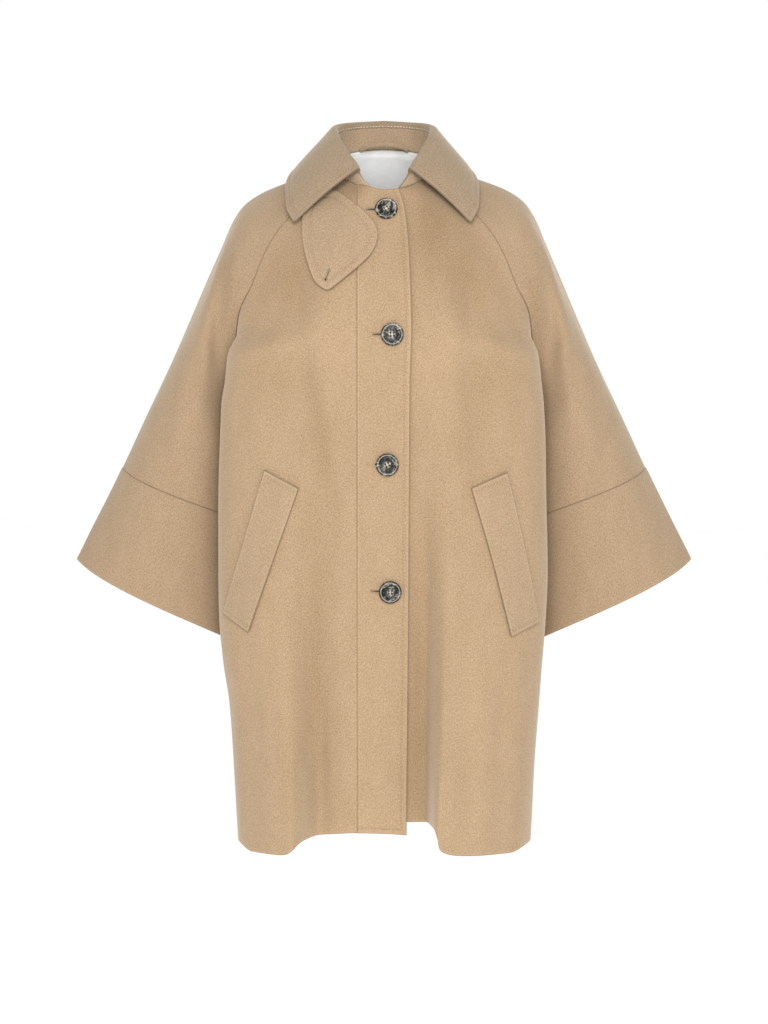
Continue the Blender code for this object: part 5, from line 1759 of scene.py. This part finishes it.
def thread_bead(form, place, turn, out, height, size):
    """A flattened bead of thread on a button, at a turn and a distance from its middle."""
    matrix = (place @ Matrix.Rotation(turn, 4, "Z") @ Matrix.Translation((out, 0, height))
              @ Matrix.Diagonal((*size, 1.0)))
    bmesh.ops.create_icosphere(form, subdivisions=2, radius=1.0, matrix=matrix)


def buttons(surface, horn, thread):
    """The four buttons flat on the placket, each with thread in its holes and two bars."""
    places = []
    for number, (x, z) in enumerate(zip(BUTTONS["x"], BUTTONS["z"]), start=1):
        spin = math.radians(BUTTON_TURNS[number - 1])
        mesh = horn_button(f"horn_button_{number}", spin, horn)
        step = 5 * MM
        spot = surface.spot(x * MM, z * MM)
        across = surface.spot(x * MM + step, z * MM) - surface.spot(x * MM - step, z * MM)
        down = surface.spot(x * MM, z * MM - step) - surface.spot(x * MM, z * MM + step)
        normal = Vector(unit(np.cross(down, across)))
        turn = normal.to_track_quat("Z", "Y").to_matrix().to_4x4()
        place = Matrix.Translation(Vector(spot) + normal * BUTTON_STANDOFF) @ turn
        mesh.transform(place)
        piece = added(mesh.name, mesh)
        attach(piece, BODY)
        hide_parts(f"button_{number}")
        places.append((place, spin))
    form = bmesh.new()
    for place, spin in places:
        for angle in (0.0, math.pi):
            thread_bead(form, place, spin + angle, BUTTON_HOLE_SPACING * 0.7,
                        BUTTON_THICKNESS * 0.62, (0.5 * MM, BUTTON_HOLE_SPACING * 0.75, 0.3 * MM))
        for quarter in range(4):
            thread_bead(form, place, spin + math.radians(45 + 90 * quarter), BUTTON_HOLE_SPACING,
                        BUTTON_THICKNESS * 0.3, (BUTTON_HOLE_RADIUS, BUTTON_HOLE_RADIUS, 0.6 * MM))
    mesh = mesh_of(form, "button_threads")
    mesh.polygons.foreach_set("use_smooth", np.ones(len(mesh.polygons), bool))
    mesh.materials.append(thread)
    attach(added("button_threads", mesh), BODY)


def buttonhole_runs(spot, start, end, half_gap, bar):
    """Two rows of stitches beside a slit and a bar across its end."""
    start = np.array(start)
    end = np.array(end)
    way = (end - start) / np.linalg.norm(end - start)
    side = np.array([-way[1], way[0]])
    rows = []
    for sign in (-1, 1):
        line = [start + (end - start) * share + side * half_gap * sign
                for share in np.linspace(0, 1, 30)]
        rows.append(np.array([spot(x, z) for x, z in line]))
    if bar:
        line = [start - way * BAR_OVERHANG + side * share
                for share in np.linspace(-BAR_HALF_LENGTH, BAR_HALF_LENGTH, 9)]
        rows.append(np.array([spot(x, z) for x, z in line]))
    return rows


def slit(spot, start, end, width, dark, name):
    """Painted shadow for the mouth of a buttonhole: a thin dark lens on the uncut cloth."""
    start = np.array(start)
    end = np.array(end)
    way = (end - start) / np.linalg.norm(end - start)
    side = np.array([-way[1], way[0]])
    outer = []
    for share in np.linspace(0.0, 1.0, 25):
        half = width / 2 * math.sin(math.pi * np.clip(share, 0.04, 0.96)) ** 0.4
        row = []
        for across in (-1.0, -0.5, 0.0, 0.5, 1.0):
            place = start + (end - start) * share + side * half * across
            row.append(spot(*place))
        outer.append(row)
    outer = np.array(outer)
    normals = grid_normals(outer)
    flip = normals[12, 2, 1] > 0
    normals = normals * (-1.0 if flip else 1.0)
    marks = {"seam": np.zeros(outer.shape[:2])}
    piece = wall(name, outer + normals * 0.12 * MM, outer - normals * 0.5 * MM, flip, [dark], marks)
    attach(piece, BODY)


def buttonholes(surface, tab_tree, dark, thread):
    """The placket's buttonholes beside the buttons and the keyhole in the tab."""
    rows = []
    for number, (x, z) in enumerate(zip(BUTTONS["x"], BUTTONS["z"]), start=1):
        start = ((x - BUTTONHOLE_REACH) * MM, (z + BUTTONHOLE_LIFT[number - 1]) * MM)
        end = ((x - BUTTONHOLE_NEAR) * MM, z * MM)
        rows += buttonhole_runs(surface.spot, start, end, BUTTONHOLE_HALF_GAP, True)
        # A dark lens for the mouth: painted shadow on the uncut cloth
        slit(surface.spot, start, end, BUTTONHOLE_MOUTH, dark, f"buttonhole_{number}")

    def on_tab(x, z):
        hit = tab_tree.ray_cast((x, -1.0, z), (0.0, 1.0, 0.0))[0]
        return np.array(hit)

    start = np.array(KEYHOLE_EYE) * MM
    end = np.array(KEYHOLE_END) * MM
    # Painted shadow in the keyhole's slit and eyelet
    slit(on_tab, start, end, KEYHOLE_MOUTH, dark, "tab_buttonhole_shadow")
    rows += buttonhole_runs(on_tab, start, end, KEYHOLE_HALF_GAP, False)
    turns = np.linspace(0.0, 2 * math.pi, 17)
    ring = start + EYELET_RADIUS * np.stack([np.cos(turns), np.sin(turns)], axis=1)
    rows.append(np.array([on_tab(*place) for place in ring]))
    half, width = EYELET_MOUTH
    slit(on_tab, start - (half, 0.0), start + (half, 0.0), width, dark, "tab_eyelet_shadow")
    sewn("buttonhole_stitches", rows, HOLE_PITCH, HOLE_STITCH_SIZE, thread)


def hanger_loop(wool):
    """A folded strip that bows off the back neck between its two sewn ends."""
    off = LOOP_END_Y - LOOP_STANDOFF
    high = LOOP_END_Z + 1.2 * LOOP_RISE
    path = bezier(((-LOOP_HALF_LENGTH, LOOP_END_Y, LOOP_END_Z), (-0.5 * LOOP_HALF_LENGTH, off, high),
                   (0.5 * LOOP_HALF_LENGTH, off, high), (LOOP_HALF_LENGTH, LOOP_END_Y, LOOP_END_Z)),
                  LOOP_SEGMENTS + 1)
    along = np.gradient(path, axis=0)
    width = units(np.cross(along, (0.0, -1.0, 0.0)))
    width = width * np.sign(width[:, 2:])
    shares = np.array(LOOP_SHARES)
    grid = path[:, None] + width[:, None] * LOOP_WIDTH * shares[None, :, None]
    raw = grid_normals(grid)
    flip = raw[LOOP_SEGMENTS // 2, 4, 1] > 0
    normals = -raw if flip else raw
    half = LOOP_THICKNESS / 2
    round_off = np.sqrt(np.clip(1.0 - (2 * shares) ** 4, 0.02, 1.0))[None, :, None]
    far = border_distances(grid)
    # One long side of the strip lightened as a painted highlight
    marks = {"seam": np.zeros(grid.shape[:2]), "edge": np.exp(-far["first"] / MM)}
    outer = grid + normals * half * round_off
    piece = wall("hanging_loop", outer, grid - normals * half * round_off, flip, [wool], marks)
    declare(piece, ["hanger_loop"], cut_size(outer))


def back_lining(satin):
    """The upper back lining, just inside the back, with soft ripples."""
    half = np.linspace(0.0, LINING_LAST, LINING_HALF_COLUMNS)
    full = []
    for down in np.linspace(LINING_TOP, LINING_BOTTOM, LINING_ROWS):
        row = back_row(down, half)
        full.append(np.vstack([row[::-1] * (-1, 1, 1), row[1:]]))
    full = np.array(full)
    normals = grid_normals(full)
    far = border_distances(full)
    calm = smoothstep(0.0, LINING_CALM, np.min([far[border] for border in far], axis=0))
    x, z = full[..., 0], full[..., 2]
    waves = np.sin(z / LINING_RIDGE + 1.6 * np.sin(x / LINING_BEND))
    waves = waves * (0.55 + 0.45 * np.sin(x / LINING_FADE + 1.0))
    lift = (waves * 0.5 + ripple(full, *LINING_WAVES) * 0.5) * LINING_RIPPLE * calm
    tucked = smoothstep(0.0, LINING_TUCK_REACH, far["top"])
    inset = LINING_TUCK + (LINING_INSET - 0.2 * MM - LINING_TUCK) * tucked
    outer = full - normals * (inset - lift * 0.6)[..., None]
    inner = outer - normals * (LINING_CLOTH * (0.2 + 0.8 * tucked))[..., None]
    marks = {"seam": np.zeros(full.shape[:2]), "edge": np.zeros(full.shape[:2])}
    piece = wall("lining_of_back", outer, inner, False, [satin], marks)
    declare(piece, ["back_lining"], cut_size(outer))


# Finishes

def finish_nodes(name):
    """A new material, its Principled shader, and short ways to add and link nodes."""
    material = bpy.data.materials.new(name)
    material.use_nodes = True
    tree = material.node_tree
    shader = tree.nodes["Principled BSDF"]

    def add(kind, **inputs):
        node = tree.nodes.new(kind)
        for key, value in inputs.items():
            node.inputs[key].default_value = value
        return node

    return material, shader, add, tree.links.new


def ramp(add, link, factor, stops):
    """A colour ramp over a factor; stops are (place, colour)."""
    node = add("ShaderNodeValToRGB")
    elements = node.color_ramp.elements
    while len(elements) < len(stops):
        elements.new(0.5)
    for element, (place, colour) in zip(elements, stops):
        element.position = place
        element.color = (*colour, 1.0)
    link(factor, node.inputs["Fac"])
    return node.outputs["Color"]


def blended(add, link, kind, factor, first, second):
    """Mix two colours by a factor, a number or another socket."""
    node = add("ShaderNodeMix")
    node.data_type = "RGBA"
    node.blend_type = kind
    if isinstance(factor, float):
        node.inputs["Factor"].default_value = factor
    else:
        link(factor, node.inputs["Factor"])
    for socket, value in ((node.inputs[6], first), (node.inputs[7], second)):
        if isinstance(value, tuple):
            socket.default_value = (*value, 1.0)
        else:
            link(value, socket)
    return node.outputs[2]


def cloth_noise(add, link, across, down, detail, distortion=0.0):
    """Noise over the cloth's own places, with one size across and one down it, in mm."""
    places = add("ShaderNodeUVMap")
    places.uv_map = "cloth"
    stretch = add("ShaderNodeMapping")
    stretch.inputs["Scale"].default_value = (1 / (across * MM), 1 / (down * MM), 1.0)
    link(places.outputs["UV"], stretch.inputs["Vector"])
    noise = add("ShaderNodeTexNoise", Scale=1.0, Detail=detail, Roughness=0.6,
                Distortion=distortion)
    link(stretch.outputs["Vector"], noise.inputs["Vector"])
    return noise.outputs["Fac"]


def cloth_mark(add, name):
    """A value stored on the cloth, such as the shade painted in its seams or the lightening of its
    edges.
    """
    node = add("ShaderNodeAttribute")
    node.attribute_name = name
    return node.outputs["Fac"]


def scaled(add, link, value, factor):
    """A value times a number."""
    node = add("ShaderNodeMath")
    node.operation = "MULTIPLY"
    link(value, node.inputs[0])
    node.inputs[1].default_value = factor
    return node.outputs[0]


def roughened(add, link, shader, value, low, high):
    """Vary a shader's roughness between two values."""
    rough = add("ShaderNodeMapRange")
    rough.inputs["To Min"].default_value = low
    rough.inputs["To Max"].default_value = high
    link(value, rough.inputs["Value"])
    link(rough.outputs["Result"], shader.inputs["Roughness"])


def bumped(add, link, height, strength, distance):
    """A fine bump from a height, and its normal."""
    bump = add("ShaderNodeBump", Strength=strength, Distance=distance)
    link(height, bump.inputs["Height"])
    return bump, bump.outputs["Normal"]


def brushed_wool(name, light, dark, deep):
    """Dense brushed wool: short fibres combed down the cloth, soft uneven tone, painted shade and
    painted highlights.
    """
    material, shader, add, link = finish_nodes(name)
    fibre = cloth_noise(add, link, 0.42, 1.5, 3.0)
    tuft = cloth_noise(add, link, 1.5, 2.0, 3.0, 0.5)
    cloud = cloth_noise(add, link, 22.0, 60.0, 2.0)
    tone = ramp(add, link, cloud, ((0.36, dark), (0.64, light)))
    fine = ramp(add, link, fibre, ((0.3, (0.62, 0.6, 0.57)), (0.66, (1.0, 1.0, 1.0))))
    soft = ramp(add, link, tuft, ((0.40, (0.62, 0.60, 0.57)), (0.60, (1.0, 1.0, 1.0))))
    # Patches partly of the napped wool's own tone and partly painted shade and light
    nap_and_shade = add("ShaderNodeMapRange")
    nap_and_shade.inputs["From Min"].default_value = -1.0
    link(cloth_mark(add, "nap_and_shade"), nap_and_shade.inputs["Value"])
    nap_and_shade_tone = ramp(add, link, nap_and_shade.outputs["Result"], tuple(zip((0.0, 0.5, 1.0), NAP_AND_SHADE_TONES)))
    colour = blended(add, link, "MULTIPLY", 1.0, tone, nap_and_shade_tone)
    colour = blended(add, link, "MULTIPLY", 0.55, colour, fine)
    colour = blended(add, link, "MULTIPLY", 0.75, colour, soft)
    # Painted shade: seams, stitch grooves and edge rims mixed toward the deep tone
    colour = blended(add, link, "MIX", scaled(add, link, cloth_mark(add, "seam"), SEAM_SHADE),
                     colour, deep)
    # Free edges lightened: partly wear, partly a painted highlight
    worn_and_lit = tuple(min(1.0, channel * 1.12) for channel in light)
    colour = blended(add, link, "MIX", scaled(add, link, cloth_mark(add, "edge"), EDGE_LIGHT),
                     colour, worn_and_lit)
    link(colour, shader.inputs["Base Color"])
    roughened(add, link, shader, tuft, 0.82, 1.0)
    lower_normal = bumped(add, link, tuft, 0.55, 0.28 * MM)[1]
    upper, upper_normal = bumped(add, link, fibre, 0.6, 0.14 * MM)
    link(lower_normal, upper.inputs["Normal"])
    link(upper_normal, shader.inputs["Normal"])
    shader.inputs["Specular IOR Level"].default_value = 0.12
    shader.inputs["Sheen Weight"].default_value = WOOL_SHEEN
    shader.inputs["Sheen Roughness"].default_value = 0.5
    shader.inputs["Sheen Tint"].default_value = (1.0, 0.9, 0.76, 1.0)
    return material


def woven_satin(name):
    """Pale smooth lining with a fine rib and a soft shine."""
    material, shader, add, link = finish_nodes(name)
    rib = cloth_noise(add, link, 0.35, 5.0, 2.0)
    cloud = cloth_noise(add, link, 14.0, 6.0, 2.0)
    tone = ramp(add, link, cloud, ((0.35, (0.83, 0.84, 0.83)), (0.65, (0.87, 0.88, 0.87))))
    fine = ramp(add, link, rib, ((0.3, (0.95, 0.95, 0.95)), (0.7, (1.0, 1.0, 1.0))))
    link(blended(add, link, "MULTIPLY", 0.7, tone, fine), shader.inputs["Base Color"])
    roughened(add, link, shader, rib, 0.34, 0.5)
    link(bumped(add, link, rib, 0.35, 0.06 * MM)[1], shader.inputs["Normal"])
    shader.inputs["Specular IOR Level"].default_value = 0.4
    shader.inputs["Sheen Weight"].default_value = 0.15
    return material


def mottled_horn(name):
    """Polished dark horn, cloudy cream in its dish, with a painted highlight as a pale band on its
    raised ring and painted shade darkest in its groove.
    """
    material, shader, add, link = finish_nodes(name)
    places = add("ShaderNodeTexCoord").outputs["Object"]
    cloud = add("ShaderNodeTexNoise", Scale=135.0, Detail=4.0, Roughness=0.62, Distortion=1.6)
    grain = add("ShaderNodeTexNoise", Scale=620.0, Detail=3.0, Roughness=0.6, Distortion=0.6)
    link(places, cloud.inputs["Vector"])
    link(places, grain.inputs["Vector"])
    away = cloth_mark(add, "ring")
    base = ramp(add, link, cloud.outputs["Fac"], (
        (0.36, (0.003, 0.003, 0.004)), (0.48, (0.008, 0.008, 0.010)), (0.56, (0.16, 0.145, 0.11)),
        (0.64, (0.66, 0.61, 0.50))))
    # The pale band at 0.83 on the raised ring is a painted highlight; the darkest stop at 0.76, in
    # the groove, is painted shade
    rings = ramp(add, link, away, (
        (0.0, (0.80, 0.74, 0.60)), (0.22, (0.60, 0.55, 0.44)), (0.33, (0.03, 0.029, 0.028)),
        (0.62, (0.008, 0.008, 0.009)), (0.76, (0.002, 0.002, 0.002)), (0.83, (0.54, 0.52, 0.46)),
        (0.87, (0.27, 0.25, 0.22)), (0.91, (0.004, 0.004, 0.003))))
    colour = blended(add, link, "MIX", 0.55, base, rings)
    fleck = ramp(add, link, grain.outputs["Fac"],
                 ((0.35, (0.72, 0.72, 0.72)), (0.65, (1.0, 1.0, 1.0))))
    link(blended(add, link, "MULTIPLY", 0.5, colour, fleck), shader.inputs["Base Color"])
    roughened(add, link, shader, grain.outputs["Fac"], 0.1, 0.22)
    link(bumped(add, link, cloud.outputs["Fac"], 0.18, 0.1 * MM)[1], shader.inputs["Normal"])
    shader.inputs["Specular IOR Level"].default_value = 0.2
    return material


def twisted_thread(name, light, dark):
    """Sewing thread with a fine twist."""
    material, shader, add, link = finish_nodes(name)
    places = add("ShaderNodeTexCoord").outputs["Object"]
    twist = add("ShaderNodeTexNoise", Scale=1800.0, Detail=2.0, Roughness=0.5)
    link(places, twist.inputs["Vector"])
    link(ramp(add, link, twist.outputs["Fac"], ((0.3, dark), (0.7, light))),
         shader.inputs["Base Color"])
    link(bumped(add, link, twist.outputs["Fac"], 0.4, 0.1 * MM)[1], shader.inputs["Normal"])
    shader.inputs["Roughness"].default_value = 0.6
    shader.inputs["Sheen Weight"].default_value = 0.2
    return material


# Studio

def aimed(thing, place, aim):
    """Put a lamp or the camera in its place and turn it to what it faces."""
    thing.location = place
    thing.rotation_euler = (Vector(aim) - Vector(place)).to_track_quat("-Z", "Y").to_euler()


def studio():
    """A plain pale floor, soft white surroundings, two soft lights and the camera."""
    material, shader, add, link = finish_nodes("pale_floor")
    cloud = add("ShaderNodeTexNoise", Scale=2.0, Detail=2.0)
    link(add("ShaderNodeTexCoord").outputs["Object"], cloud.inputs["Vector"])
    tone = ramp(add, link, cloud.outputs["Fac"],
                ((0.4, (0.95, 0.95, 0.95)), (0.6, (0.97, 0.97, 0.97))))
    link(tone, shader.inputs["Base Color"])
    shader.inputs["Roughness"].default_value = 0.9
    shader.inputs["Emission Color"].default_value = (1.0, 1.0, 1.0, 1.0)
    shader.inputs["Emission Strength"].default_value = FLOOR_GLOW
    mesh = bpy.data.meshes.new("studio_floor")
    half = FLOOR_HALF
    mesh.from_pydata([(-half, -half, FLOOR_Z), (half, -half, FLOOR_Z), (half, half, FLOOR_Z),
                      (-half, half, FLOOR_Z)], [], [(0, 1, 2, 3)])
    mesh.materials.append(material)
    added("studio_floor", mesh)
    world = bpy.data.worlds.new("studio")
    bpy.context.scene.world = world
    world.use_nodes = True
    tree = world.node_tree
    shown = tree.nodes["Background"]
    shown.inputs["Color"].default_value = (1.0, 1.0, 1.0, 1.0)
    shown.inputs["Strength"].default_value = 1.0
    lit = tree.nodes.new("ShaderNodeBackground")
    lit.inputs["Color"].default_value = (1.0, 1.0, 1.0, 1.0)
    lit.inputs["Strength"].default_value = SURROUND_STRENGTH
    rays = tree.nodes.new("ShaderNodeLightPath")
    mix = tree.nodes.new("ShaderNodeMixShader")
    tree.links.new(rays.outputs["Is Camera Ray"], mix.inputs["Fac"])
    tree.links.new(lit.outputs["Background"], mix.inputs[1])
    tree.links.new(shown.outputs["Background"], mix.inputs[2])
    tree.links.new(mix.outputs["Shader"], tree.nodes["World Output"].inputs["Surface"])
    for name, place, aim, size, power in LIGHTS:
        lamp = bpy.data.lights.new(name, "AREA")
        lamp.shape = "RECTANGLE"
        lamp.size, lamp.size_y = size
        lamp.energy = power
        aimed(added(name, lamp), place, aim)
    lens = bpy.data.cameras.new("photo_camera")
    lens.lens = CAMERA_LENS
    lens.sensor_width = CAMERA_SENSOR
    camera = added("photo_camera", lens)
    aimed(camera, CAMERA_PLACE, CAMERA_AIM)
    bpy.context.scene.camera = camera
    bpy.context.scene.view_settings.view_transform = "Standard"


def lined_cells(panel, borders, widths):
    """Which inner cells are lining: those further than a width from each border."""
    far = {border: (panel.far[border][:-1, :-1] + panel.far[border][1:, 1:]) / 2
           for border in borders}
    lined = np.ones(panel.grid[:-1, :-1].shape[:2], bool)
    for border, width in zip(borders, widths):
        lined &= far[border] > width
    return lined


def sew_body(named, wool, satin):
    """The two fronts and the back, lined inside up to their facings and hems."""
    for name in ("front_right", "front_left", "back"):
        panel = finished(named[name], BODY_SEAMS[name],
                         free=("bottom",) + (("first",) if name == "front_left" else ()))
        borders = ("bottom", "first") if name != "back" else ("bottom",)
        lined = lined_cells(panel, borders, (HEM_TURN, FACING_WIDTH))
        piece = wall(f"{name}_panel", panel.outer, panel.inner, panel.flip, [wool, satin],
                     panel.marks, lined=lined)
        declare(piece, [name], cut_size(panel.outer))


def sew_placket(placket, wool, runs):
    """The buttonhole band with its topstitching."""
    panel = finished(placket, BODY_SEAMS["front_placket"], free=("last", "bottom"),
                     stitched=("last", "bottom"))
    piece = wall("placket_band", panel.outer, panel.inner, panel.flip, [wool], panel.marks)
    declare(piece, ["front_placket"], cut_size(panel.outer))
    edge = beside(panel.outer, panel.far, "last", PLACKET_STITCH)
    low = beside(panel.outer, panel.far, "bottom", PLACKET_STITCH)
    above = beside(panel.far["bottom"], panel.far, "last", PLACKET_STITCH) > PLACKET_STITCH
    inside = beside(panel.far["last"], panel.far, "bottom", PLACKET_STITCH) > PLACKET_STITCH
    runs.append(np.vstack([edge[above], low[inside][::-1]]))
    runs.append(beside(panel.outer, panel.far, "first", SEAM_STITCH))


def sew_sleeves(named, wool, satin):
    """The four sleeve pieces, lined inside."""
    for part in ("front", "back"):
        for hand in ("right", "left"):
            panel = finished(named[f"sleeve_{part}_{hand}"], SLEEVE_SEAMS)
            lined = np.ones(panel.grid[:-1, :-1].shape[:2], bool)
            piece = wall(f"sleeve_{part}_half_{hand}", panel.outer, panel.inner, panel.flip,
                         [wool, satin], panel.marks, lined=lined)
            declare(piece, [panel.name], cut_size(panel.outer))


def main():
    """Make every finish, sew every piece and set up the studio."""
    wool = brushed_wool("camel_wool_body", *BODY_TONES)
    sleeve_wool = brushed_wool("camel_wool_sleeves", *SLEEVE_TONES)
    collar_wool = brushed_wool("camel_wool_collar", *COLLAR_TONES)
    # Lighter copy for the stand and the hanger loop: painted light
    lit_stand_wool = brushed_wool("camel_wool_stand_lit", *STAND_LIT_TONES)
    trim_wool = brushed_wool("camel_wool_trims", *TRIM_TONES)
    satin = woven_satin("pale_lining_satin")
    horn = mottled_horn("mottled_horn")
    # dark is the painted shadow in the buttonhole mouths
    thread, pale_thread, hole_thread, dark_thread, dark = (
        twisted_thread(name, *colours) for name, colours in THREADS.items())
    named, parts = body_and_sleeves()
    runs = []
    surface_names = ("front_right", "front_placket", "front_left", "sleeve_front_right",
                     "sleeve_front_left")
    surface = FrontSurface([named[name] for name in surface_names])
    sew_body(named, wool, satin)
    sew_placket(named["front_placket"], wool, runs)
    sew_sleeves(named, sleeve_wool, satin)
    cuffs(sleeve_wool)
    cover = sew_collar(named["collar_stand"], parts, lit_stand_wool, collar_wool, pale_thread, runs)
    tab_tree = throat_tab(surface, trim_wool, runs, cover)
    pocket_welts(surface, trim_wool, runs)
    buttons(surface, horn, dark_thread)
    buttonholes(surface, tab_tree, dark, hole_thread)
    hanger_loop(lit_stand_wool)
    back_lining(satin)
    sewn("topstitching", runs, STITCH_PITCH, STITCH_SIZE, thread)
    studio()


SEWING = stitch_tree()
main()
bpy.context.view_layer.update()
for cut in CUTS:
    print("cut", cut[0], "%.3f x %.3f m, %.4f m2" % cut[1:])
